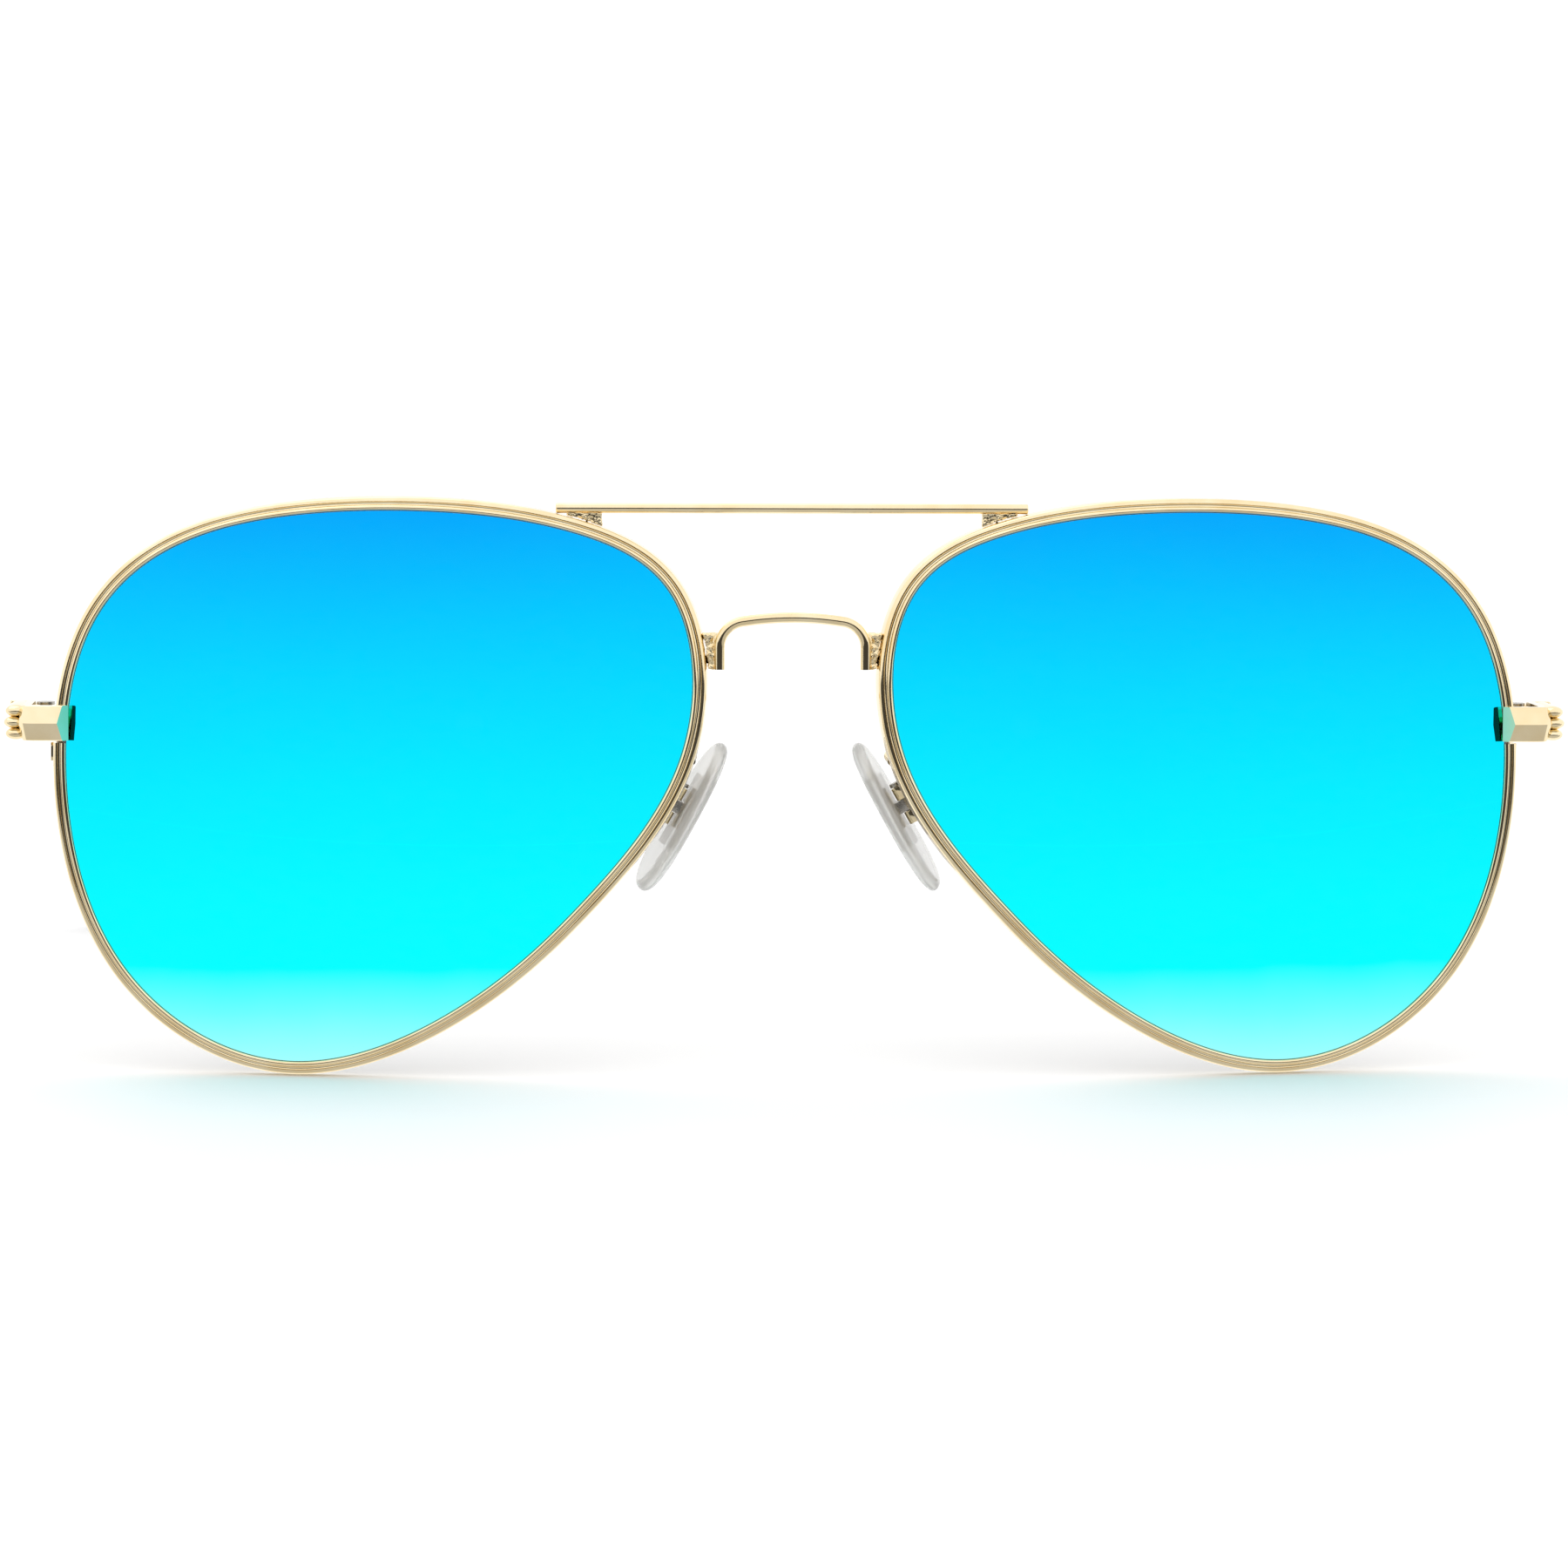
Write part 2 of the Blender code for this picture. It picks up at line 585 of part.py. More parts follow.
def end_piece():
    """A ridged strap with a bevelled tip, bent back to the hinge, with ribs along its outer side."""
    tip_x, front_y, leg_x, end_y = end_piece_plan()
    inner_corner = END_CORNER - END_THICKNESS
    centre = (leg_x - inner_corner, front_y + inner_corner)
    half = END_HEIGHT / 2
    edge = END_THICKNESS - END_RIDGE
    section = [(0, -half), (edge, -half), (END_THICKNESS, 0), (edge, half), (0, half)]
    # The tip is cut off at 45 degrees in front.
    rings = [[(tip_x, front_y - min(d, END_TIP_DEPTH), END_CENTRE + h) for d, h in section],
             [(tip_x + max(d - END_TIP_DEPTH, 0), front_y - d, END_CENTRE + h) for d, h in section]]
    stations = []
    for i in range(5):
        turn = -math.pi / 2 + math.pi / 2 * i / 4
        ray = (math.cos(turn), math.sin(turn))
        foot = (centre[0] + inner_corner * ray[0], centre[1] + inner_corner * ray[1])
        stations.append((foot, ray))
    stations.append(((leg_x, end_y), (1, 0)))
    for (x, y), (out_x, out_y) in stations:
        rings.append([(x + d * out_x, y + d * out_y, END_CENTRE + h) for d, h in section])
    piece = loft("left_end_piece", rings)
    pitch = (END_HEIGHT - 2 * END_RIB_HALF_HEIGHT) / (END_RIBS - 1)
    for i in range(END_RIBS):
        step = END_RIB_STEP if i == END_RIBS // 2 else 0
        x = leg_x + END_THICKNESS + END_RIB_PROUD - END_RIB_HALF_DEPTH + step
        z = END_CENTRE - half + END_RIB_HALF_HEIGHT + i * pitch
        piece = boolean(piece, rib(x, front_y, end_y, z), "UNION")
    return piece


def rib(x, front_y, end_y, z):
    """An oval bar with a domed front end, along y."""
    rings = []
    for share in (0.3, 0.75, 1.0):
        turn = share * math.pi / 2
        rings.append((front_y + END_RIB_HALF_DEPTH * (1 - math.cos(turn)), math.sin(turn)))
    rings.append((end_y - END_RIB_SHORT, 1.0))
    spots = oval(END_RIB_HALF_HEIGHT, END_RIB_HALF_DEPTH)
    return loft("rib", [[(x + size * a, y, z + size * b) for a, b in spots] for y, size in rings])


def knuckle_outline(plate_low, plate_high, reach):
    """A knuckle and its plate from above: the axis at the origin and the plate reaching along y."""
    side = math.copysign(1, reach)
    low = math.asin(plate_low / KNUCKLE_RADIUS)
    high = math.asin(min(plate_high / KNUCKLE_RADIUS, 1))
    steps = 18
    turns = [high + (2 * math.pi + low - high) * i / steps for i in range(1, steps + 1)]
    arc = [(KNUCKLE_RADIUS * math.sin(t), side * KNUCKLE_RADIUS * math.cos(t)) for t in turns]
    start = (plate_high, side * KNUCKLE_RADIUS * math.cos(high))
    return [(plate_high, reach), start] + arc + [(plate_low, reach)]


def hinge():
    """Front leaf with two knuckles, temple leaf with one between them, and the screw through all."""
    axis = hinge_axis()
    frame = Matrix.Translation(axis)
    total = 2 * KNUCKLE_OUTER + KNUCKLE_MIDDLE + 2 * RUNNING_GAP
    hole = circle(HINGE_SCREW_RADIUS + RUNNING_GAP)
    plate_high = hinge_inset() - BRAZE_GAP
    outline = knuckle_outline(plate_high - LEAF_THICKNESS, plate_high, -LEAF_LENGTH)
    front = extrusion("left_hinge_front_leaf", outline, -total / 2, total / 2, frame, hole)
    half_gap = KNUCKLE_MIDDLE / 2 + RUNNING_GAP
    sweep = KNUCKLE_RADIUS + KNUCKLE_CLEARANCE
    gap = box("gap", (-2 * sweep, -sweep, -half_gap), (2 * sweep, 2 * sweep, half_gap), frame)
    front = boolean(front, gap)
    inner = temple_inner_face() - axis.x - BRAZE_GAP
    outline = knuckle_outline(inner - LEAF_THICKNESS, inner, LEAF_LENGTH)
    middle = KNUCKLE_MIDDLE / 2
    rear = extrusion("left_hinge_temple_leaf", outline, -middle, middle, frame, hole)
    low = (inner - LEAF_THICKNESS, KNUCKLE_RADIUS + 2 * KNUCKLE_CLEARANCE, -total / 2)
    plate = box("plate", low, (inner, LEAF_LENGTH, total / 2), frame)
    rear = boolean(rear, plate, "UNION")
    head_under = Matrix.Translation((0, 0, total / 2 + SEAT_GAP))
    length = total + SEAT_GAP + HINGE_SCREW_TAIL
    fastener = screw("left_hinge_screw", HINGE_SCREW_RADIUS, HINGE_SCREW_HEAD, length, frame @ head_under)
    return front, rear, fastener


def temple_inner_face():
    _, _, leg_x, _ = end_piece_plan()
    return leg_x + TEMPLE_STEP


def oval(half_height, half_width, sides=12):
    """Section points as (across, up) pairs round an ellipse."""
    turns = [2 * math.pi * (i + 0.5) / sides for i in range(sides)]
    return [(half_width * math.cos(t), half_height * math.sin(t)) for t in turns]


def strap(half_height, low, high, chamfer=0.3):
    """Section points as (across, up) pairs round a flat strap with chamfered edges."""
    cut = chamfer * min(half_height, (high - low) / 2)
    return [(high, half_height - cut), (high - cut, half_height), (low + cut, half_height),
            (low, half_height - cut), (low, cut - half_height), (low + cut, -half_height),
            (high - cut, -half_height), (high, cut - half_height)]


class TemplePath:
    """The line of the temple: straight and sloping down, then round the ear bend and down the tip."""

    def __init__(self):
        _, _, _, end_y = end_piece_plan()
        # The end is square to the sloping strap, so its lower edge leans towards the end piece.
        start_y = end_y + BUTT_GAP + math.sin(TEMPLE_SLOPE) * TEMPLE_HEIGHT / 2
        self.start = Vector((temple_inner_face() + TEMPLE_THICKNESS / 2, start_y, END_CENTRE))
        self.bend = BEND_RADIUS * (TIP_DROP - TEMPLE_SLOPE)
        self.tail = BEND_RADIUS
        for _ in range(4):
            lowest = min(point.z for ring in self.tip_end_rings() for point in ring)
            self.tail += (lowest + REST_HEIGHT) / math.sin(TIP_DROP)
        self.length = TEMPLE_STRAIGHT + self.bend + self.tail

    def at(self, place):
        """The point and the downward slope at a length along the line."""
        along = min(place, TEMPLE_STRAIGHT)
        y, z = along * math.cos(TEMPLE_SLOPE), -along * math.sin(TEMPLE_SLOPE)
        turned = min(max(place - TEMPLE_STRAIGHT, 0), self.bend) / BEND_RADIUS
        slope = TEMPLE_SLOPE + turned
        y += BEND_RADIUS * (math.sin(slope) - math.sin(TEMPLE_SLOPE))
        z -= BEND_RADIUS * (math.cos(TEMPLE_SLOPE) - math.cos(slope))
        past = max(place - TEMPLE_STRAIGHT - self.bend, 0)
        y += past * math.cos(slope)
        z -= past * math.sin(slope)
        lean = max(place - TEMPLE_STRAIGHT + TIP_BEFORE_BEND, 0) / (TIP_BEFORE_BEND + TIP_INWARD_RUN)
        return self.start + Vector((-TIP_INWARD * lean**2, y, z)), slope

    def ring(self, place, section):
        """Section points, given as (across, up), placed square to the line."""
        point, slope = self.at(place)
        up = Vector((0, math.sin(slope), math.cos(slope)))
        return [point + Vector((across, 0, 0)) + up * height for across, height in section]

    def tip_end_rings(self):
        """The rounded end of the plastic tip, as far as the straight tail places it."""
        end = TEMPLE_STRAIGHT + self.bend + self.tail
        rings = []
        for share in (0.0, 0.45, 0.75, 0.92, 0.99):
            size = math.sqrt(1 - share**2)
            section = oval(TIP_END[0] * size, TIP_END[1] * size)
            rings.append(self.ring(end - TIP_ROUNDING * (1 - share), section))
        return rings


def temple(path):
    """A strap with a thicker head at the hinge, tapering to the round wire inside the tip."""
    half = TEMPLE_THICKNESS / 2
    radius = TEMPLE_WIRE / 2
    tip_mouth = TEMPLE_STRAIGHT - TIP_BEFORE_BEND
    taper_start = TEMPLE_HEAD_LENGTH + 2 * (TEMPLE_HEAD_THICKNESS - TEMPLE_THICKNESS)
    taper_end = tip_mouth - 2 * WIRE_SHOWING
    stations = [(0, TEMPLE_HEIGHT / 2, TEMPLE_HEAD_THICKNESS),
                (TEMPLE_HEAD_LENGTH, TEMPLE_HEIGHT / 2, TEMPLE_HEAD_THICKNESS)]
    for share in (0, 0.25, 0.5, 0.75, 1.0):
        half_height = TEMPLE_HEIGHT / 2 + (radius - TEMPLE_HEIGHT / 2) * share
        stations.append((taper_start + (taper_end - taper_start) * share, half_height, TEMPLE_THICKNESS))
    rings = [path.ring(at, strap(height, -half, wide - half)) for at, height, wide in stations]
    wire_start = tip_mouth - WIRE_SHOWING
    wire_end = path.length - TIP_CORE_CLEAR
    count = 16
    for i in range(count + 1):
        place = wire_start + (wire_end - wire_start) * i / count
        rings.append(path.ring(place, strap(radius, -radius, radius, ROUND_CHAMFER)))
    return loft("left_temple", rings)


def temple_tip(path):
    """A plastic sleeve over the wire: a bore that is open at the mouth, inside an oval body."""
    mouth = TEMPLE_STRAIGHT - TIP_BEFORE_BEND
    bore_end = path.length - TIP_CORE_CLEAR + 2 * TIP_BORE_GAP
    bore = TEMPLE_WIRE / 2 + TIP_BORE_GAP
    count = 16
    rings = []
    for i in range(count, -1, -1):
        rings.append(path.ring(mouth + (bore_end - mouth) * i / count, oval(bore, bore)))
    body_end = path.length - TIP_ROUNDING
    for share in (0.0, 0.02, *[i / 14 for i in range(1, 14)]):
        lip = TIP_LIP_SHARE if share == 0 else 1.0
        swell = share**1.5
        height = TIP_MOUTH[0] + (TIP_END[0] - TIP_MOUTH[0]) * swell
        width = TIP_MOUTH[1] + (TIP_END[1] - TIP_MOUTH[1]) * swell
        rings.append(path.ring(mouth + (body_end - mouth) * share, oval(height * lip, width * lip)))
    rings += path.tip_end_rings()
    return loft("left_temple_tip", rings)


def pad_frame():
    """Origin on the back of the left pad at its lug, y up the pad, z towards the nose, x to the front."""
    on_nasal = on_rim(PAD_HEIGHT, False, RIM_WIDTH, 0)
    origin = Vector((on_nasal.x + PAD_OFFSET, on_nasal.y + PAD_SETBACK, PAD_HEIGHT))
    up = Vector((-math.sin(PAD_LEAN), 0, math.cos(PAD_LEAN)))
    level = Vector((-math.cos(PAD_LEAN), 0, -math.sin(PAD_LEAN)))
    face = level * math.cos(PAD_SPLAY) + Vector((0, 1, 0)) * math.sin(PAD_SPLAY)
    across = up.cross(face)
    turn = Matrix((across, up, face)).transposed().to_4x4()
    return Matrix.Translation(origin) @ turn


def pad_outline(share, count=28):
    """The pad's edge drawn in to a share of its width: a superellipse that is narrower at the top."""
    inset = (1 - share) * PAD_WIDTH / 2
    points = []
    for i in range(count):
        turn = 2 * math.pi * (i + 0.5) / count
        across = math.copysign(abs(math.cos(turn)) ** 0.8, math.cos(turn))
        along = math.copysign(abs(math.sin(turn)) ** 0.85, math.sin(turn))
        half_width = (PAD_WIDTH / 2 - inset) * (1 - PAD_TAPER * along)
        points.append((across * half_width, along * (PAD_LENGTH / 2 - inset) - PAD_HANG))
    return points


def nose_pad(frame):
    """A soft-edged cushion with a pocket for its insert, open where the lug comes out."""
    rings = [[(x, y, level * PAD_THICKNESS) for x, y in pad_outline(share)]
             for level, share in PAD_SECTION]
    pad = loft("left_nose_pad", rings, frame)
    low, high = insert_levels()
    across, along = INSERT_WIDTH / 2 + SEAT_GAP, INSERT_LENGTH / 2 + SEAT_GAP
    pocket = box("pocket", (-across, -along, low - SEAT_GAP), (across, along, high + SEAT_GAP), frame)
    across, along = LUG_RADIUS + SEAT_GAP, LUG_THICKNESS / 2 + SEAT_GAP
    neck = box("neck", (-across, -along, -PAD_THICKNESS), (across, along, (low + high) / 2), frame)
    return boolean(pad, boolean(pocket, neck, "UNION"))


def insert_levels():
    middle = PAD_THICKNESS / 2
    return middle - INSERT_THICKNESS / 2, middle + INSERT_THICKNESS / 2


def pad_axis(frame):
    """The rocking axis: local y of the pad, just behind its back."""
    return frame @ Matrix.Translation((0, 0, -PAD_AXIS_DEPTH))


def pad_insert(frame):
    """A flat bar inside the pad with a round-ended, drilled lug standing out of it."""
    low, high = insert_levels()
    bar = box("left_pad_insert", (-INSERT_WIDTH / 2, -INSERT_LENGTH / 2, low),
              (INSERT_WIDTH / 2, INSERT_LENGTH / 2, high), frame)
    # The lug's outline in the plane square to the axis: u towards the nose and v across.
    steps = 12
    arc = [math.pi / 2 + math.pi * i / steps for i in range(steps + 1)]
    outline = [(LUG_RADIUS * math.cos(t), LUG_RADIUS * math.sin(t)) for t in arc]
    reach = PAD_AXIS_DEPTH + (low + high) / 2
    outline += [(reach, -LUG_RADIUS), (reach, LUG_RADIUS)]
    hole = circle(PAD_SCREW_RADIUS + RUNNING_GAP, 16)
    lug = extrusion("lug", outline, -LUG_THICKNESS / 2, LUG_THICKNESS / 2, axis_frame(frame), hole)
    return boolean(bar, lug, "UNION")


def axis_frame(frame):
    """Origin on the rocking axis, z along it and x towards the nose."""
    turn = Matrix(((0, 1, 0), (0, 0, 1), (1, 0, 0))).to_4x4()
    return pad_axis(frame) @ turn


def pad_box(frame):
    """A small channel with two cheeks, one above and one below the lug."""
    inner = LUG_THICKNESS / 2 + RUNNING_GAP
    outer = inner + BOX_CHEEK
    floor = LUG_RADIUS + BOX_FLOOR_GAP
    back = floor + BOX_BASE
    mouth = PAD_AXIS_DEPTH - BOX_MOUTH_GAP
    edge, cut = LUG_RADIUS, LUG_RADIUS - BOX_CHAMFER
    cheek = [(-back, -edge), (mouth - BOX_CHAMFER, -edge), (mouth, -cut), (mouth, cut),
             (mouth - BOX_CHAMFER, edge), (-back, edge)]
    at = axis_frame(frame)
    block = extrusion("left_pad_box", cheek, -outer, outer, at, circle(PAD_SCREW_RADIUS + RUNNING_GAP, 16))
    return boolean(block, box("room", (-floor, -MM, -inner), (MM, MM, inner), at))


def pad_screw(frame):
    top = LUG_THICKNESS / 2 + RUNNING_GAP + BOX_CHEEK
    seat = axis_frame(frame) @ Matrix.Translation((0, 0, top + SEAT_GAP))
    length = 2 * top + SEAT_GAP
    return screw("left_pad_screw", PAD_SCREW_RADIUS, PAD_SCREW_HEAD, length, seat, 16)


def pad_arm(frame):
    """A wire from the back of the rim that loops round to the back of the pad's box."""
    foot = on_rim(ARM_FOOT_HEIGHT, False, ARM_FOOT_OFFSET, -RIM_BACK - 2 * BRAZE_GAP)
    at = axis_frame(frame)
    back = LUG_RADIUS + BOX_FLOOR_GAP + BOX_BASE + BRAZE_GAP
    end = at @ Vector((-back, 0, 0))
    before_end = at @ Vector((-back - 0.4 * ARM_RADIUS, 0, 0))
    turn = at @ Vector((-back - 1.2 * ARM_RADIUS, 0.05 * ARM_LOOP, 0.05 * ARM_LOOP))
    loop = at @ Vector((-back - 0.8 * ARM_LOOP, 0.5 * ARM_LOOP, ARM_LOOP))
    rise = foot + Vector((0, 1.2 * ARM_LOOP, 0.15 * ARM_LOOP))
    route = [foot, foot + Vector((0, 0.45 * ARM_LOOP, 0)), rise, loop, turn, before_end, end]
    return wire("left_pad_arm", smooth_through(route, 5), ARM_RADIUS)


def smooth_through(points, steps):
    """A smooth open path through the points (Catmull-Rom), steps pieces to a span."""
    points = [Vector(point) for point in points]
    ends = [2 * points[0] - points[1]] + points + [2 * points[-1] - points[-2]]
    path = []
    for a, b, c, d in zip(ends, ends[1:], ends[2:], ends[3:]):
        for i in range(steps):
            t = i / steps
            path.append(0.5 * (2 * b + (c - a) * t + (2 * a - 5 * b + 4 * c - d) * t**2
                               + (3 * b - a - 3 * c + d) * t**3))
    return path + [points[-1]]


def empty(name, matrix, parent=None):
    holder = bpy.data.objects.new(name, None)
    holder.empty_display_size = 0.005
    PARTS.objects.link(holder)
    place(holder, matrix, parent)
    return holder


def place(piece, matrix, parent):
    """Sets the piece's place in the working frame, under its parent."""
    FRAMES[piece.name] = matrix
    piece.parent = parent
    piece.matrix_basis = (FRAMES[parent.name].inverted() @ matrix) if parent else matrix


def settle(piece, parent, material):
    """Parents a left piece, gives it its material, and adds its mirror image on the right."""
    matrix = piece.matrix_world.copy()
    piece.data.materials.clear()
    piece.data.materials.append(material)
    piece.data.shade_smooth()
    piece.data.set_sharp_from_angle(angle=math.radians(35))
    place(piece, matrix, parent)
    if not piece.name.startswith("left_"):
        return
    data = piece.data.copy()
    data.transform(MIRROR_X)
    data.flip_normals()
    twin = new_object(piece.name.replace("left_", "right_"), data)
    place(twin, MIRROR_X @ matrix @ MIRROR_X, twin_of(parent))


def twin_of(parent):
    return bpy.data.objects[parent.name.replace("left_", "right_")]


clear_scene()
FRAMES = {}
PARTS = bpy.data.collections.new("aviator_sunglasses")
bpy.context.scene.collection.children.link(PARTS)

gold = new_material("gold_metal", GOLD)
steel = new_material("steel", STEEL)
mirror = new_material("mirror_lens", MIRROR)
silicone = new_material("clear_silicone", SILICONE)
plastic = new_material("tip_plastic", PLASTIC)

temple_path = TemplePath()
rear = max(point.y for ring in temple_path.tip_end_rings() for point in ring)
front = on_rim(0, False, RIM_CREST, RIM_FRONT).y
root = empty("sunglasses", Matrix())
pad_at = pad_frame()
pivots = {}
for side, flip in (("left", Matrix()), ("right", MIRROR_X)):
    fold = flip @ Matrix.Translation(hinge_axis()) @ flip
    rock = flip @ axis_frame(pad_at) @ flip
    pivots[side] = (empty(side + "_temple_pivot", fold, root), empty(side + "_pad_pivot", rock, root))
temple_pivot, pad_pivot = pivots["left"]

settle(lens(), root, mirror)
settle(rim(), root, gold)
for block in closing_blocks():
    settle(block, root, gold if "block" in block.name else steel)
settle(bridge(), root, gold)
settle(bridge_saddle(), root, gold)
settle(brow_bar(), root, gold)
settle(brow_bar_wedge(), root, gold)
settle(end_piece(), root, gold)
front_leaf, temple_leaf, hinge_screw = hinge()
settle(front_leaf, root, gold)
settle(temple_leaf, temple_pivot, gold)
settle(hinge_screw, root, steel)
settle(temple(temple_path), temple_pivot, gold)
settle(temple_tip(temple_path), temple_pivot, plastic)
settle(pad_arm(pad_at), root, gold)
settle(pad_box(pad_at), root, gold)
settle(pad_screw(pad_at), root, steel)
settle(pad_insert(pad_at), pad_pivot, steel)
settle(nose_pad(pad_at), pad_pivot, silicone)

root.location = (0, -(front + rear) / 2, REST_HEIGHT)
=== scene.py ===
import json
import math

import bmesh
import bpy
import numpy as np
from mathutils import Matrix, Vector

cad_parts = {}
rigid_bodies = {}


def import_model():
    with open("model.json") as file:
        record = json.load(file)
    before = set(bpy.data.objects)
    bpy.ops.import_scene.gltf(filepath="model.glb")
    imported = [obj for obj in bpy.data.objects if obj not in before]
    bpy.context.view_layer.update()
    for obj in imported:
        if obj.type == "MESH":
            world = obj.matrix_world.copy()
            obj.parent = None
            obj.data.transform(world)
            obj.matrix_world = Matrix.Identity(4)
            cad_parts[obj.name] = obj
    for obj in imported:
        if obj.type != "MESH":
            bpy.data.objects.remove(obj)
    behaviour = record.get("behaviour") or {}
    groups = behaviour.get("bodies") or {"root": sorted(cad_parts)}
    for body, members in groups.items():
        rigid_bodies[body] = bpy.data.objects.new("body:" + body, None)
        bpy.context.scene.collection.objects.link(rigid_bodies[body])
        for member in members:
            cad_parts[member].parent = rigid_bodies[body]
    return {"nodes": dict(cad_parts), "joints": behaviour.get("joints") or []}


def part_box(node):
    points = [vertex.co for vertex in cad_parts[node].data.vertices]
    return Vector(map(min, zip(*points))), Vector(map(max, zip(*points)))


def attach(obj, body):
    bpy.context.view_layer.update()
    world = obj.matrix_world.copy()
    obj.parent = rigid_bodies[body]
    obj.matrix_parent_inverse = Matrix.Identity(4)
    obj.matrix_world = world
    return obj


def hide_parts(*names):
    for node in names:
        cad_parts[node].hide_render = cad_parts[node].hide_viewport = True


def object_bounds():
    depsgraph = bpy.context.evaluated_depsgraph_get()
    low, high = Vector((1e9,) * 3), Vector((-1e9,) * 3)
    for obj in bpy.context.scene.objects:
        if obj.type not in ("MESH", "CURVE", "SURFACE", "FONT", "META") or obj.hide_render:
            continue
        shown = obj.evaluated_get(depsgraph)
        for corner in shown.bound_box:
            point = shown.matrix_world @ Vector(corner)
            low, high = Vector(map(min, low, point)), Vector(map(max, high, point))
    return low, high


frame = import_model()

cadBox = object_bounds()
mm = 0.001
mirrorX = Matrix.Diagonal((-1, 1, 1, 1))
joints = {joint["name"]: joint for joint in frame["joints"]}
print("frame loaded:", len(frame["nodes"]), "nodes")


# Meshes

def newPiece(name, data):
    piece = bpy.data.objects.new(name, data)
    bpy.context.scene.collection.objects.link(piece)
    return piece


def tidyMesh(piece, sharp=32):
    # doubles merged, faces outward, smooth apart from edges sharper than the angle
    work = bmesh.new()
    work.from_mesh(piece.data)
    bmesh.ops.remove_doubles(work, verts=work.verts, dist=1e-7)
    bmesh.ops.recalc_face_normals(work, faces=work.faces)
    work.to_mesh(piece.data)
    work.free()
    piece.data.shade_smooth()
    piece.data.set_sharp_from_angle(angle=math.radians(sharp))
    return piece


def loft(name, rings, sharp=32):
    # a closed skin through rings of equally many points
    count = len(rings[0])
    verts = [tuple(point) for ring in rings for point in ring]
    faces = [tuple(range(count)), tuple(range(len(verts) - count, len(verts)))]
    for i in range(len(rings) - 1):
        for j in range(count):
            k = (j + 1) % count
            faces.append((i * count + j, i * count + k, (i + 1) * count + k, (i + 1) * count + j))
    mesh = bpy.data.meshes.new(name)
    mesh.from_pydata(verts, [], faces)
    return tidyMesh(newPiece(name, mesh), sharp)


def applied(piece, sharp=32):
    # the piece with its modifiers turned into a plain mesh
    bpy.context.view_layer.update()
    mesh = bpy.data.meshes.new_from_object(piece.evaluated_get(bpy.context.evaluated_depsgraph_get()))
    name = piece.name
    matrix = piece.matrix_world.copy()
    bpy.data.objects.remove(piece)
    done = newPiece(name, mesh)
    mesh.transform(matrix)
    return tidyMesh(done, sharp)


def polyline(name, points, cyclic=False):
    # a curve of straight steps, for the sweeps
    data = bpy.data.curves.new(name, "CURVE")
    data.dimensions = "3D"
    spline = data.splines.new("POLY")
    spline.points.add(len(points) - 1)
    for target, point in zip(spline.points, points):
        target.co = (*point, 1)
    spline.use_cyclic_u = cyclic
    return newPiece(name, data)


def settle(piece, body, slot, material, *nodes):
    # finish, body and replaced nodes for a piece, and for its mirror image if it is a left one
    sides = [piece]
    if piece.name.startswith("left_"):
        data = piece.data.copy()
        data.transform(mirrorX)
        data.flip_normals()
        sides.append(newPiece(piece.name.replace("left_", "right_"), data))
    for side, made in zip(("left_", "right_"), sides):
        made.data.materials.clear()
        made.data.materials.append(material)
        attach(made, body.replace("left_", side))
        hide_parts(*[node.replace("left_", side) for node in nodes])
    return sides


def arc(centre, radii, first, last, steps):
    # points of an elliptical arc, angles in degrees
    turns = np.radians(np.linspace(first, last, steps + 1))
    return [(centre[0] + radii[0] * math.cos(t), centre[1] + radii[1] * math.sin(t)) for t in turns]


def oval(halfHeight, halfWidth, sides=40):
    return [(x, y) for x, y in arc((0, 0), (halfWidth, halfHeight), 0, 360, sides)[:-1]]


def throughPoints(points, steps):
    # a smooth open path (Catmull-Rom)
    points = [Vector(point) for point in points]
    ends = [2 * points[0] - points[1]] + points + [2 * points[-1] - points[-2]]
    path = []
    for a, b, c, d in zip(ends, ends[1:], ends[2:], ends[3:]):
        for t in (i / steps for i in range(steps)):
            bend = (2 * a - 5 * b + 4 * c - d) * t**2 + (3 * b - a - 3 * c + d) * t**3
            path.append(0.5 * (2 * b + (c - a) * t + bend))
    return path + [points[-1]]


# Geometry Nodes

class Tree:
    # a Geometry Nodes group with named inputs; put() gives an object the modifier with its values set
    def __init__(self, name, **inputs):
        self.group = bpy.data.node_groups.new(name, "GeometryNodeTree")
        face = self.group.interface
        face.new_socket("Geometry", in_out="INPUT", socket_type="NodeSocketGeometry")
        self.ids = {}
        for label, kind in inputs.items():
            made = face.new_socket(label, in_out="INPUT", socket_type="NodeSocket" + kind)
            self.ids[label] = made.identifier
        face.new_socket("Geometry", in_out="OUTPUT", socket_type="NodeSocketGeometry")
        self.given = self.group.nodes.new("NodeGroupInput").outputs

    def node(self, kind, settings=None, **values):
        made = self.group.nodes.new(kind)
        for key, value in (settings or {}).items():
            setattr(made, key, value)
        for key, value in values.items():
            socket = made.inputs[int(key[1:])] if key[0] == "_" and key[1:].isdigit() else made.inputs[key]
            if isinstance(value, bpy.types.NodeSocket):
                self.group.links.new(value, socket)
            else:
                socket.default_value = value
        return made.outputs

    def close(self, geometry, finish):
        real = self.node("GeometryNodeRealizeInstances", _0=geometry)
        done = self.node("GeometryNodeSetMaterial", _0=real[0], Material=finish)
        self.group.links.new(done[0], self.group.nodes.new("NodeGroupOutput").inputs[0])

    def put(self, piece, **values):
        modifier = piece.modifiers.new(self.group.name, "NODES")
        modifier.node_group = self.group
        for label, value in values.items():
            modifier[self.ids[label]] = value
        return piece


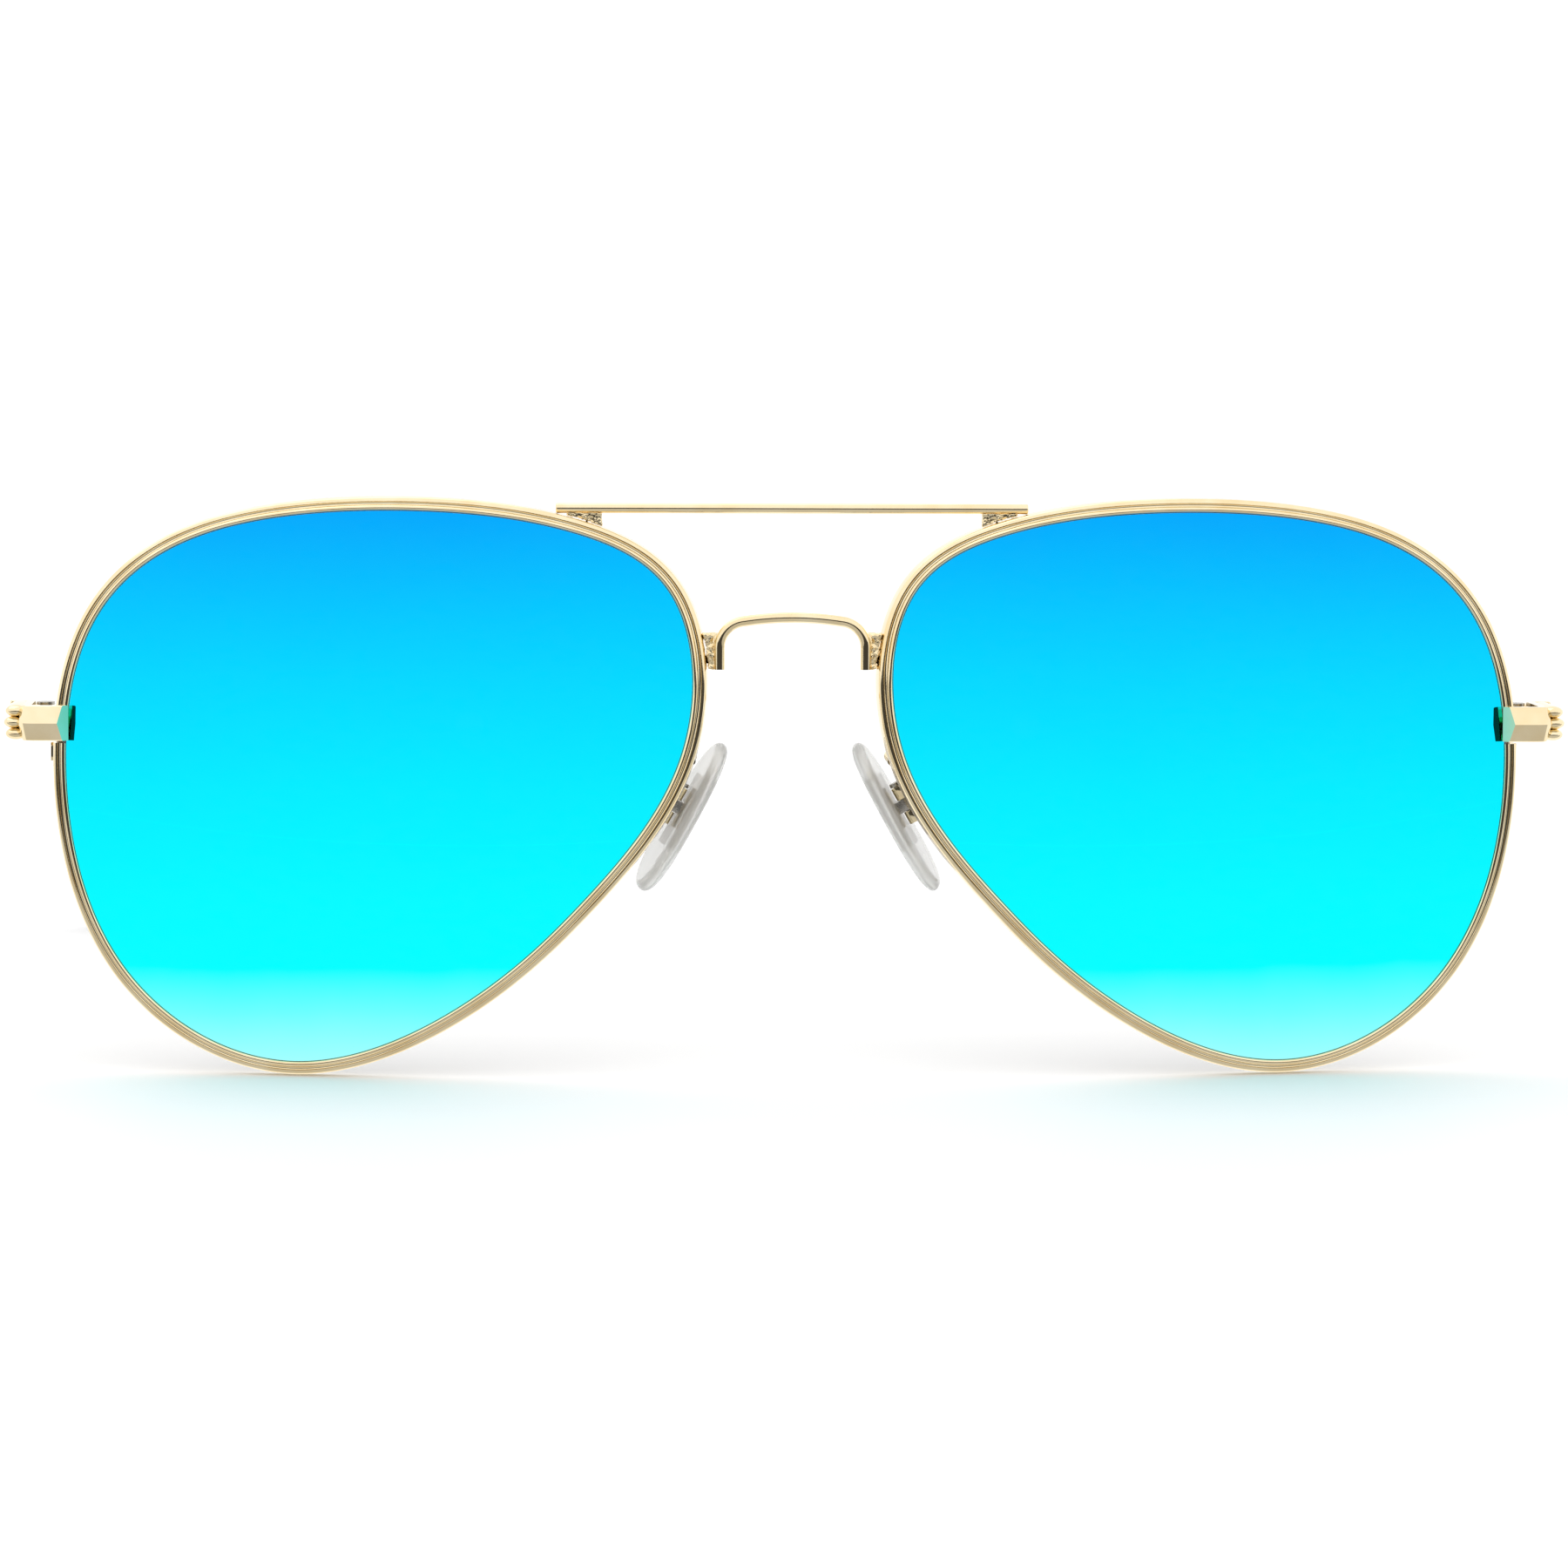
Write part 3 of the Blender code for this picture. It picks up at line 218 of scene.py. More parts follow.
def makeProfileSweep():
    # a closed profile swept along the path: its x points outward and its y backward
    tree = Tree("profileSweep", Profile="Object", Finish="Material")
    path = tree.node("GeometryNodeSetCurveNormal", {"mode": "Z_UP"}, _0=tree.given["Geometry"])
    shape = tree.node("GeometryNodeObjectInfo", Object=tree.given["Profile"])
    swept = tree.node("GeometryNodeCurveToMesh", _0=path[0], _1=shape["Geometry"])
    swept[0].node.inputs["Fill Caps"].default_value = True
    tree.close(swept[0], tree.given["Finish"])
    return tree


def makeWireSweep():
    # a round wire along the path
    tree = Tree("wireSweep", Radius="Float", Sides="Int", Finish="Material")
    ring = tree.node("GeometryNodeCurvePrimitiveCircle", Resolution=tree.given["Sides"],
                     Radius=tree.given["Radius"])
    swept = tree.node("GeometryNodeCurveToMesh", _0=tree.given["Geometry"], _1=ring["Curve"])
    swept[0].node.inputs["Fill Caps"].default_value = True
    tree.close(swept[0], tree.given["Finish"])
    return tree


def makeStack():
    # copies of a shape one above another, the middle one a step further out
    tree = Tree("stack", Shape="Object", Count="Int", Pitch="Float", Step="Float", Finish="Material")
    up = tree.node("ShaderNodeCombineXYZ", Z=tree.given["Pitch"])
    row = tree.node("GeometryNodeMeshLine", Count=tree.given["Count"], Offset=up[0])
    index = tree.node("GeometryNodeInputIndex")
    last = tree.node("ShaderNodeMath", {"operation": "SUBTRACT"}, _0=tree.given["Count"], _1=1.0)
    middle = tree.node("ShaderNodeMath", {"operation": "DIVIDE"}, _0=last[0], _1=2.0)
    isMiddle = tree.node("ShaderNodeMath", {"operation": "COMPARE"}, _0=index[0], _1=middle[0], _2=0.1)
    out = tree.node("ShaderNodeMath", {"operation": "MULTIPLY"}, _0=isMiddle[0], _1=tree.given["Step"])
    shift = tree.node("ShaderNodeCombineXYZ", X=out[0])
    moved = tree.node("GeometryNodeSetPosition", _0=row[0], Offset=shift[0])
    shape = tree.node("GeometryNodeObjectInfo", Object=tree.given["Shape"])
    copies = tree.node("GeometryNodeInstanceOnPoints", _0=moved[0], Instance=shape["Geometry"])
    tree.close(copies[0], tree.given["Finish"])
    return tree


def makeRipple():
    # the uneven skin of a brazed joint: a noise along the normal, with a seed
    tree = Tree("ripple", Amount="Float", Scale="Float", Seed="Float", Finish="Material")
    fine = tree.node("GeometryNodeSubdivideMesh", _0=tree.given["Geometry"], Level=1)
    wave = tree.node("ShaderNodeTexNoise", {"noise_dimensions": "4D"}, Scale=tree.given["Scale"],
                     W=tree.given["Seed"], Detail=3.0)
    level = tree.node("ShaderNodeMath", {"operation": "SUBTRACT"}, _0=wave[0], _1=0.55)
    size = tree.node("ShaderNodeMath", {"operation": "MULTIPLY"}, _0=level[0], _1=tree.given["Amount"])
    normal = tree.node("GeometryNodeInputNormal")
    offset = tree.node("ShaderNodeVectorMath", {"operation": "SCALE"}, _0=normal[0], Scale=size[0])
    moved = tree.node("GeometryNodeSetPosition", _0=fine[0], Offset=offset[0])
    tree.close(moved[0], tree.given["Finish"])
    return tree


profileSweep = makeProfileSweep()
wireSweep = makeWireSweep()
stack = makeStack()
ripple = makeRipple()
print("trees built")


# Materials

class Sock:
    # a value in a shader graph; the operators add Math nodes
    def __init__(self, graph, socket):
        self.graph = graph
        self.socket = socket

    def maths(self, operation, *others):
        return self.graph.add("ShaderNodeMath", {"operation": operation}, *others)

    def __add__(self, other):
        return self.maths("ADD", self, other)

    def __sub__(self, other):
        return self.maths("SUBTRACT", self, other)

    def __rsub__(self, other):
        return self.maths("SUBTRACT", other, self)

    def __mul__(self, other):
        return self.maths("MULTIPLY", self, other)

    def __truediv__(self, other):
        return self.maths("DIVIDE", self, other)

    __radd__ = __add__
    __rmul__ = __mul__


class Graph:
    def __init__(self, tree):
        self.tree = tree

    def add(self, kind, settings=None, *values, out=0, **named):
        # a node: its settings first, then its inputs by order or by name (_ for a space)
        made = self.tree.nodes.new(kind)
        stops = (settings or {}).pop("stops", None)
        for key, value in (settings or {}).items():
            setattr(made, key, value)
        if stops:
            ramp = made.color_ramp
            while len(ramp.elements) < len(stops):
                ramp.elements.new(0.5)
            for element, (place, colour) in zip(ramp.elements, stops):
                element.position = place
                element.color = (*colour, 1)
        pairs = list(zip(made.inputs, values))
        pairs += [(made.inputs[key.replace("_", " ")], value) for key, value in named.items()]
        for socket, value in pairs:
            self.join(value, socket)
        return Sock(self, made.outputs[out])

    def join(self, value, socket):
        if isinstance(value, Sock):
            self.tree.links.new(value.socket, socket)
        else:
            socket.default_value = value

    def place(self, scale=(1, 1, 1)):
        # object coordinates, stretched
        coords = self.add("ShaderNodeTexCoord", out="Object")
        return self.add("ShaderNodeMapping", {"vector_type": "TEXTURE"}, coords,
                        Scale=tuple(1 / s for s in scale))

    def noise(self, vector, scale, detail=3.0):
        return self.add("ShaderNodeTexNoise", None, Vector=vector, Scale=scale, Detail=detail)


def newMaterial(name, **fixed):
    # a Principled material: fixed values go straight on its sockets
    material = bpy.data.materials.new(name)
    material.use_nodes = True
    shader = material.node_tree.nodes["Principled BSDF"]
    for key, value in fixed.items():
        shader.inputs[key.replace("_", " ")].default_value = value
    graph = Graph(material.node_tree)
    return material, graph, shader


def dress(graph, shader, look, tint, wear, relief=None):
    # colour along the stops by the tint, roughness by the wear, and a fine relief
    graph.join(graph.add("ShaderNodeValToRGB", {"stops": look["stops"]}, tint), shader.inputs["Base Color"])
    graph.join(look["smooth"] + look["dull"] * wear, shader.inputs["Roughness"])
    if relief:
        strength, depth = look["relief"]
        bump = graph.add("ShaderNodeBump", None, Strength=strength, Distance=depth, Height=relief)
        graph.join(bump, shader.inputs["Normal"])


paleGold, deepGold = (0.95, 0.815, 0.55), (0.86, 0.67, 0.37)
goldLook = {"stops": [(0.35, paleGold), (0.85, deepGold)], "smooth": 0.05, "dull": 0.06,
            "relief": (0.06, 0.01 * mm), "cloud": 260, "lines": 2600, "drawn": (1, 1, 9)}


def polishedGold():
    material, graph, shader = newMaterial("polishedGold", Metallic=1.0)
    cloud = graph.noise(graph.place(), goldLook["cloud"])
    scratch = graph.noise(graph.place(goldLook["drawn"]), goldLook["lines"], 4.0)
    dress(graph, shader, goldLook, cloud, scratch * cloud, scratch)
    return material


brazeLook = {"stops": [(0.3, deepGold), (0.7, paleGold)], "smooth": 0.05, "dull": 0.12,
             "relief": (0.5, 0.06 * mm), "grain": 1800}


def brazedGold():
    # the joints: a little duller and grainier than the wires
    material, graph, shader = newMaterial("brazedGold", Metallic=1.0)
    grain = graph.noise(graph.place(), brazeLook["grain"], 5.0)
    dress(graph, shader, brazeLook, grain, grain, grain)
    return material


steelLook = {"stops": [(0.3, (0.36, 0.34, 0.31)), (0.75, (0.62, 0.59, 0.54))], "smooth": 0.18, "dull": 0.2,
             "relief": (0.15, 0.02 * mm), "grain": 5200, "drawn": (1, 1, 14)}


def machinedSteel():
    material, graph, shader = newMaterial("machinedSteel", Metallic=1.0)
    grain = graph.noise(graph.place(steelLook["drawn"]), steelLook["grain"], 2.0)
    dress(graph, shader, steelLook, grain, grain, grain)
    return material


# the mirror film's hue runs down the lens, from azure at the brow to near white at the cheek: partly the
# film's own colour and partly a painted reflection of the sky's gradient
filmAndSkyReflectionLook = {"stops": [(0.0, (0.34, 0.9, 0.9)), (0.1, (0.13, 0.9, 0.9)), (0.18, (0.0, 0.89, 0.9)),
                      (0.31, (0.0, 0.86, 0.9)), (0.5, (0.0, 0.76, 0.9)), (0.69, (0.0, 0.62, 0.9)),
                      (0.82, (0.0, 0.51, 0.9)), (1.0, (0.0, 0.35, 0.88))],
            "cloud": 55, "spread": 0.05, "smooth": 0.012, "dull": 0.02, "smear": 400, "wiped": (1, 1, 3)}


def mirrorFilm():
    material, graph, shader = newMaterial("mirrorFilm", Metallic=1.0, Coat_Weight=0.04, Coat_Roughness=0.02)
    low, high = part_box("left_lens")
    coords = graph.add("ShaderNodeTexCoord", out="Object")
    height = graph.add("ShaderNodeSeparateXYZ", None, coords, out="Z")
    # colour by height up the lens: partly the film's tint and partly a painted sky reflection, fixed to the
    # lens
    share = (height - low.z) / (high.z - low.z)
    cloud = graph.noise(graph.place(), filmAndSkyReflectionLook["cloud"], 4.0)
    smear = graph.noise(graph.place(filmAndSkyReflectionLook["wiped"]), filmAndSkyReflectionLook["smear"], 5.0)
    dress(graph, shader, filmAndSkyReflectionLook, share + filmAndSkyReflectionLook["spread"] * (cloud - 0.5), smear * cloud)
    return material


smokeLook = {"stops": [(0.3, (0.10, 0.10, 0.105)), (0.7, (0.13, 0.125, 0.12))], "smooth": 0.02, "dull": 0.02,
             "cloud": 120}


def smokeLens():
    # the tinted body behind the film
    material, graph, shader = newMaterial("smokeLens", Transmission_Weight=0.9, IOR=1.58)
    cloud = graph.noise(graph.place(), smokeLook["cloud"])
    dress(graph, shader, smokeLook, cloud, cloud)
    return material


siliconeLook = {"stops": [(0.3, (0.93, 0.93, 0.91)), (0.75, (0.98, 0.98, 0.965))], "smooth": 0.05,
                "dull": 0.09, "relief": (0.08, 0.04 * mm), "cloud": 350}


def clearSilicone():
    material, graph, shader = newMaterial("clearSilicone", Transmission_Weight=0.6, IOR=1.41)
    cloud = graph.noise(graph.place(), siliconeLook["cloud"], 4.0)
    dress(graph, shader, siliconeLook, cloud, cloud, cloud)
    return material


tipLook = {"stops": [(0.3, (0.010, 0.010, 0.011)), (0.8, (0.028, 0.027, 0.026))], "smooth": 0.12,
           "dull": 0.15, "relief": (0.1, 0.03 * mm), "cloud": 700, "flow": (1, 0.3, 1)}


def tipPlastic():
    material, graph, shader = newMaterial("tipPlastic", Coat_Weight=0.4, Coat_Roughness=0.05)
    cloud = graph.noise(graph.place(tipLook["flow"]), tipLook["cloud"], 5.0)
    dress(graph, shader, tipLook, cloud, cloud, cloud)
    return material


gold = polishedGold()
braze = brazedGold()
steel = machinedSteel()
film = mirrorFilm()
smoke = smokeLens()
silicone = clearSilicone()
plastic = tipPlastic()
print("materials made")


# Lenses and rims: one teardrop outline, in the plane of each lens

lensSizes = {
    "width": 57.2 * mm, "height": 50.3 * mm, "gap": 18.1 * mm, "radius": 88 * mm, "thickness": 1.8 * mm,
    "wrap": math.radians(6), "lip": 0.42 * mm, "land": 0.2 * mm, "bevel": 0.35 * mm,
    "stations": 360, "rows": 22, "pole": 0.01, "samples": 1440, "outline": 720,
    "filmFront": 0.044 * mm, "filmBack": 0.024 * mm, "filmInset": 0.04 * mm,
    # shares of half the width (towards the temple) and of half the height
    "teardrop": [(1.0, 0.045), (0.895, 0.62), (0.53, 0.92), (-0.155, 1.0), (-0.63, 0.92), (-0.925, 0.705),
                 (-0.965, 0.125), (-0.665, -0.395), (-0.305, -0.76), (0.275, -1.0), (0.805, -0.68)],
}


def periodicSpline(knots, count):
    # points along the smooth closed curve through the knots
    knots = np.array(knots)
    size = len(knots)
    steps = np.sqrt(np.linalg.norm(np.roll(knots, -1, 0) - knots, axis=1))
    slopes = (np.roll(knots, -1, 0) - knots) / steps[:, None]
    system = np.zeros((size, size))
    for i in range(size):
        system[i, i - 1] += steps[i - 1]
        system[i, i] += 2 * (steps[i - 1] + steps[i])
        system[i, (i + 1) % size] += steps[i]
    bends = np.linalg.solve(system, 6 * (slopes - np.roll(slopes, 1, 0)))
    starts = np.concatenate([[0], np.cumsum(steps)])
    points = []
    for place in np.linspace(0, starts[-1], count, endpoint=False):
        i = int(np.searchsorted(starts, place, side="right")) - 1
        j = (i + 1) % size
        b = (place - starts[i]) / steps[i]
        a = 1 - b
        curve = ((a**3 - a) * bends[i] + (b**3 - b) * bends[j]) * steps[i] ** 2 / 6
        points.append(a * knots[i] + b * knots[j] + curve)
    return np.array(points)


class Teardrop:
    # the lens's visible edge, with its outward normals and the lengths round it
    def __init__(self, sizes):
        points = periodicSpline(sizes["teardrop"], sizes["samples"])
        low, high = points.min(0), points.max(0)
        points = (2 * points - low - high) / (high - low) * (sizes["width"] / 2, sizes["height"] / 2)
        tangents = np.roll(points, -1, 0) - np.roll(points, 1, 0)
        tangents /= np.linalg.norm(tangents, axis=1)[:, None]
        self.points = points
        self.normals = np.stack([tangents[:, 1], -tangents[:, 0]], axis=1)
        steps = np.linalg.norm(np.roll(points, -1, 0) - points, axis=1)
        self.places = np.concatenate([[0], np.cumsum(steps)])
        self.length = self.places[-1]

    def at(self, places, offset=0.0):
        # points at lengths round the edge, moved outward by the offset
        moved = self.points + offset * self.normals
        moved = np.vstack([moved, moved[:1]])
        places = np.asarray(places) % self.length
        return np.stack([np.interp(places, self.places, moved[:, i]) for i in (0, 1)], axis=1)

    def placeOf(self, height, towardsTemple):
        side = self.points[:, 0] > 0 if towardsTemple else self.points[:, 0] < 0
        miss = np.where(side, np.abs(self.points[:, 1] - height), 1.0)
        return float(self.places[int(np.argmin(miss))])

    def ring(self, offset, count):
        return self.at(self.length * np.arange(count) / count, offset)


def sag(points):
    # how far the lens's front face lies behind its vertex
    radius = lensSizes["radius"]
    return radius - np.sqrt(radius**2 - (np.asarray(points) ** 2).sum(axis=-1))


def edgeDepth(points):
    # the middle of the lens's thickness at these points
    return -sag(points) - lensSizes["thickness"] / 2


def lensFrame():
    # origin at the left lens's vertex, x towards the temple, y up, z forward
    half = lensSizes["width"] / 2
    wrap = lensSizes["wrap"]
    spread = lensSizes["gap"] / 2 + half * math.cos(wrap) - edgeDepth((half, 0)) * math.sin(wrap)
    turn = Matrix.Rotation(wrap, 4, "Z") @ Matrix.Rotation(math.pi / 2, 4, "X")
    return Matrix.Translation((float(spread), 0, 0)) @ turn


rimSizes = {"width": 1.3 * mm, "front": 1.2 * mm, "back": 1.15 * mm, "frontTrim": 0.07 * mm,
            "sideTrim": 0.02 * mm, "bead": 0.24 * mm, "valleyCentre": (0.66 * mm, 0.92 * mm),
            "valley": (0.2 * mm, 0.2 * mm), "rollCentre": (0.8 * mm, 0.4 * mm), "roll": (0.43 * mm, 0.4 * mm),
            "corner": 0.38 * mm, "innerCorner": 0.28 * mm, "mouth": 1.24 * mm, "floor": 0.3 * mm,
            "depth": 0.55 * mm, "crest": 0.5 * mm, "slitHeight": 3.75 * mm, "slit": 0.25 * mm,
            "stations": 420}

teardrop = Teardrop(lensSizes)
lensPlace = lensFrame()


def onRim(height, towardsTemple, offset, forward):
    # a point beside the lens's edge at a height
    place = [teardrop.placeOf(height, towardsTemple)]
    depth = float(edgeDepth(teardrop.at(place))[0])
    x, y = teardrop.at(place, offset)[0]
    return lensPlace @ Vector((x, y, depth + forward))


def findHome():
    # where the outlines' origin lies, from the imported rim's lowest and frontmost points
    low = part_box("left_rim")[0]
    crest = teardrop.ring(rimSizes["crest"], lensSizes["outline"])
    depths = edgeDepth(teardrop.ring(0, lensSizes["outline"])) + rimSizes["front"]
    front = min((lensPlace @ Vector((*point, depth))).y for point, depth in zip(crest, depths))
    return Vector((0, low.y - front, low.z + lensSizes["height"] / 2 + rimSizes["width"]))


home = findHome()
homeMatrix = Matrix.Translation(home)
print("home", [round(v * 1000, 3) for v in home])


def inLensPlace(piece):
    piece.data.transform(homeMatrix @ lensPlace)
    return piece


def lensBody():
    # domed front, bevelled lip and domed back
    edge = teardrop.ring(0, lensSizes["stations"])
    inset = teardrop.ring(-lensSizes["bevel"], lensSizes["stations"])
    shares = [i / lensSizes["rows"] for i in range(1, lensSizes["rows"])]
    pole = lensSizes["pole"]
    domes = [edge * (pole + (1 - 3 * pole) * share) for share in shares] + [inset]
    rings = [np.column_stack([dome, -sag(dome)]) for dome in domes]
    lip = teardrop.ring(lensSizes["lip"], lensSizes["stations"])
    for side in (1, -1):
        rings.append(np.column_stack([lip, edgeDepth(edge) + side * lensSizes["land"] / 2]))
    for dome in reversed(domes):
        rings.append(np.column_stack([dome, -sag(dome) - lensSizes["thickness"]]))
    return inLensPlace(loft("left_lens_body", rings))


def lensFilm():
    # the mirror coating, a thin closed shell on the front of the lens
    edge = teardrop.ring(-lensSizes["filmInset"], lensSizes["stations"])
    pole = lensSizes["pole"]
    domes = [edge * (pole + (1 - pole) * i / lensSizes["rows"]) for i in range(lensSizes["rows"] + 1)]
    rings = [np.column_stack([dome, lensSizes["filmFront"] - sag(dome)]) for dome in domes]
    rings += [np.column_stack([dome, lensSizes["filmBack"] - sag(dome)]) for dome in reversed(domes)]
    return inLensPlace(loft("left_lens_film", rings))


def rimProfile():
    # an inner bead, a valley, a rounded shoulder and the lens's groove
    size = rimSizes
    bead = size["bead"]
    front, width = size["front"] - size["frontTrim"], size["width"] - size["sideTrim"]
    points = arc((bead, front - bead), (bead, bead), 180, -20, 14)
    points += arc(size["valleyCentre"], size["valley"], 205, 320, 8)
    points += arc(size["rollCentre"], size["roll"], 88, 0, 12)
    points += arc((width - size["corner"], size["corner"] - size["back"]),
                  (size["corner"], size["corner"]), 0, -90, 6)
    points += arc((size["innerCorner"], size["innerCorner"] - size["back"]),
                  (size["innerCorner"], size["innerCorner"]), -90, -180, 6)
    points += [(0, -size["mouth"] / 2), (size["depth"], -size["floor"] / 2),
               (size["depth"], size["floor"] / 2), (0, size["mouth"] / 2)]
    return polyline("rimProfile", [(x, -y, 0) for x, y in points], cyclic=True)


def rimWire():
    # round the lens from one side of the closing slit to the other
    start = teardrop.placeOf(rimSizes["slitHeight"], True) + rimSizes["slit"] / 2
    run = teardrop.length - rimSizes["slit"]
    places = start + run * np.linspace(0, 1, rimSizes["stations"])
    flat = teardrop.at(places)
    path = polyline("left_rim_wire", np.column_stack([flat, edgeDepth(flat)]))
    profile = rimProfile()
    profileSweep.put(path, Profile=profile, Finish=gold)
    wire = applied(path, 40)
    bpy.data.objects.remove(profile)
    return inLensPlace(wire)


settle(lensBody(), "front", "mirror_lens", smoke, "left_lens")
settle(lensFilm(), "front", "mirror_lens", film, "left_lens")
settle(rimWire(), "front", "gold_metal", gold, "left_rim")
print("lenses and rims done")


# Bridge and brow bar

bridgeSizes = {"radius": 0.475 * mm, "legOffset": 0.58 * mm, "foot": 10.8 * mm, "top": 15.3 * mm,
               "corner": 2.4 * mm, "bow": 0.35 * mm, "forward": 0.3 * mm, "sides": 40, "topSteps": 40}


def rounded(corners, radius, steps=24):
    # an open path whose inner corners are arcs
    path = [Vector(corners[0])]
    for before, corner, after in zip(corners, corners[1:], corners[2:]):
        corner = Vector(corner)
        into = (Vector(before) - corner).normalized()
        out = (Vector(after) - corner).normalized()
        half = into.angle(out) / 2
        cut = radius / math.tan(half)
        centre = corner + (into + out).normalized() * (radius / math.sin(half))
        first = (corner + into * cut - centre).normalized()
        last = (corner + out * cut - centre).normalized()
        path += [centre + radius * first.slerp(last, i / steps) for i in range(steps + 1)]
    return path + [Vector(corners[-1])]


def bridgeWire():
    # two straight legs, rounded shoulders and a slightly bowed top
    size = bridgeSizes
    outline = teardrop.ring(rimSizes["width"], lensSizes["outline"])
    depths = edgeDepth(teardrop.ring(0, lensSizes["outline"]))
    nasal = min((lensPlace @ Vector((*p, d)) for p, d in zip(outline, depths)), key=lambda p: p.x)
    x, y = nasal.x - size["legOffset"] - size["radius"], nasal.y - size["forward"]
    shoulder = size["top"] - size["bow"]
    corners = [(-x, y, size["foot"]), (-x, y, shoulder), (0, y, size["top"] + size["bow"])]
    half = rounded(corners, size["corner"])[:-1]
    mirrored = [Vector((-p.x, p.y, p.z)) for p in reversed(half)]
    start, end = half[-1], mirrored[0]
    steps = size["topSteps"]
    top = [Vector((start.x + (end.x - start.x) * i / steps, y,
                   start.z + 4 * (i / steps) * (1 - i / steps) * size["bow"])) for i in range(1, steps)]
    path = polyline("bridge_wire", [home + p for p in half + top + mirrored])
    wireSweep.put(path, Radius=size["radius"], Sides=size["sides"], Finish=gold)
    return applied(path)


barSizes = {"edge": 0.16 * mm, "sides": 48}


def browRod():
    # a straight round rod with slightly broken ends
    low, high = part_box("brow_bar")
    middle = (low + high) / 2
    radius = (high.z - low.z) / 2
    edge = barSizes["edge"]
    end = [(high.x - edge + edge * math.sin(t), radius - edge + edge * math.cos(t))
           for t in np.radians([0, 15, 30, 45, 60, 75, 90])]
    stations = [(x, r) for x, r in reversed(end)] + [(-x, r) for x, r in end]
    rings = []
    for x, r in stations:
        rings.append([(x, middle.y + r * a, middle.z + r * b) for a, b in oval(1, 1, barSizes["sides"])])
    return loft("brow_bar_rod", rings)


brazeSizes = {"round": 0.14 * mm, "segments": 3, "voxel": 0.05 * mm, "smoothing": 12, "scale": 1200.0,
              "saddle": 0.8 * mm, "saddleSeed": 3.0, "bar": 0.5 * mm, "barSeed": 8.0}


def rippled(node, name, amount, seed):
    # a brazed fillet: the node's solid with rounded edges and an uneven skin
    piece = newPiece(name, frame["nodes"][node].data.copy())
    tidyMesh(piece)
    edge = piece.modifiers.new("edge", "BEVEL")
    edge.width = brazeSizes["round"]
    edge.segments = brazeSizes["segments"]
    edge.limit_method = "ANGLE"
    piece = applied(piece)
    split = piece.modifiers.new("even", "REMESH")
    split.mode = "VOXEL"
    split.voxel_size = brazeSizes["voxel"]
    soft = piece.modifiers.new("soft", "SMOOTH")
    soft.iterations = brazeSizes["smoothing"]
    piece = applied(piece)
    ripple.put(piece, Amount=amount, Scale=brazeSizes["scale"], Seed=seed, Finish=braze)
    return applied(piece, 60)


settle(bridgeWire(), "front", "gold_metal", gold, "bridge")
settle(browRod(), "front", "gold_metal", gold, "brow_bar")
saddle = rippled("left_bridge_saddle", "left_saddle_braze", brazeSizes["saddle"], brazeSizes["saddleSeed"])
settle(saddle, "front", "gold_metal", braze, "left_bridge_saddle")
fillet = rippled("left_brow_bar_wedge", "left_bar_braze", brazeSizes["bar"], brazeSizes["barSeed"])
settle(fillet, "front", "gold_metal", braze, "left_brow_bar_wedge")
print("bridge and brow bar done")


# End pieces

endSizes = {"thickness": 1.3 * mm, "ridge": 0.45 * mm, "tipDepth": 0.3 * mm, "corner": 1.6 * mm,
            "flat": 1.82 * mm, "break": 0.07 * mm, "turns": 12, "ribs": 3, "ribHalfHeight": 0.56 * mm,
            "ribHalfDepth": 0.95 * mm, "ribProud": 1.1 * mm, "ribStep": 0.15 * mm, "ribShort": 0.1 * mm}


def endStrap():
    # ridged in front, its tip cut at 45 degrees, bent back round the corner
    size = endSizes
    low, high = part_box("left_end_piece")
    half = (high.z - low.z) / 2
    middle = (high.z + low.z) / 2
    frontY = low.y + size["thickness"]
    legX = high.x - size["thickness"] - size["ribProud"] - size["ribStep"]
    inner = size["corner"] - size["thickness"]
    centre = (legX - inner, frontY + inner)
    edge = size["thickness"] - size["ridge"]
    # section points as (depth, height), with a slightly broken ridge and edges
    cut = size["break"]
    shoulder, crest, ridge = edge + 0.1 * cut, size["thickness"] - 0.35 * cut, size["thickness"] - 0.1 * cut
    section = [(0, -half), (edge - cut, -half), (shoulder, cut - half), (crest, -cut), (ridge, 0),
               (crest, cut), (shoulder, half - cut), (edge - cut, half), (0, half)]
    tip = size["tipDepth"]
    rings = [[(low.x, frontY - min(d, tip), middle + h) for d, h in section]]
    rings.append([(low.x + max(d - tip, 0), frontY - d, middle + h) for d, h in section])
    stations = [((low.x + size["flat"], frontY), (0, -1))]
    for i in range(size["turns"] + 1):
        turn = math.pi / 2 * (i / size["turns"] - 1)
        ray = (math.cos(turn), math.sin(turn))
        stations.append(((centre[0] + inner * ray[0], centre[1] + inner * ray[1]), ray))
    stations.append(((legX, high.y), (1, 0)))
    for (x, y), (outX, outY) in stations:
        rings.append([(x + d * outX, y + d * outY, middle + h) for d, h in section])
    return loft("left_end_strap", rings, 20), (legX, frontY, high.y, middle, half)


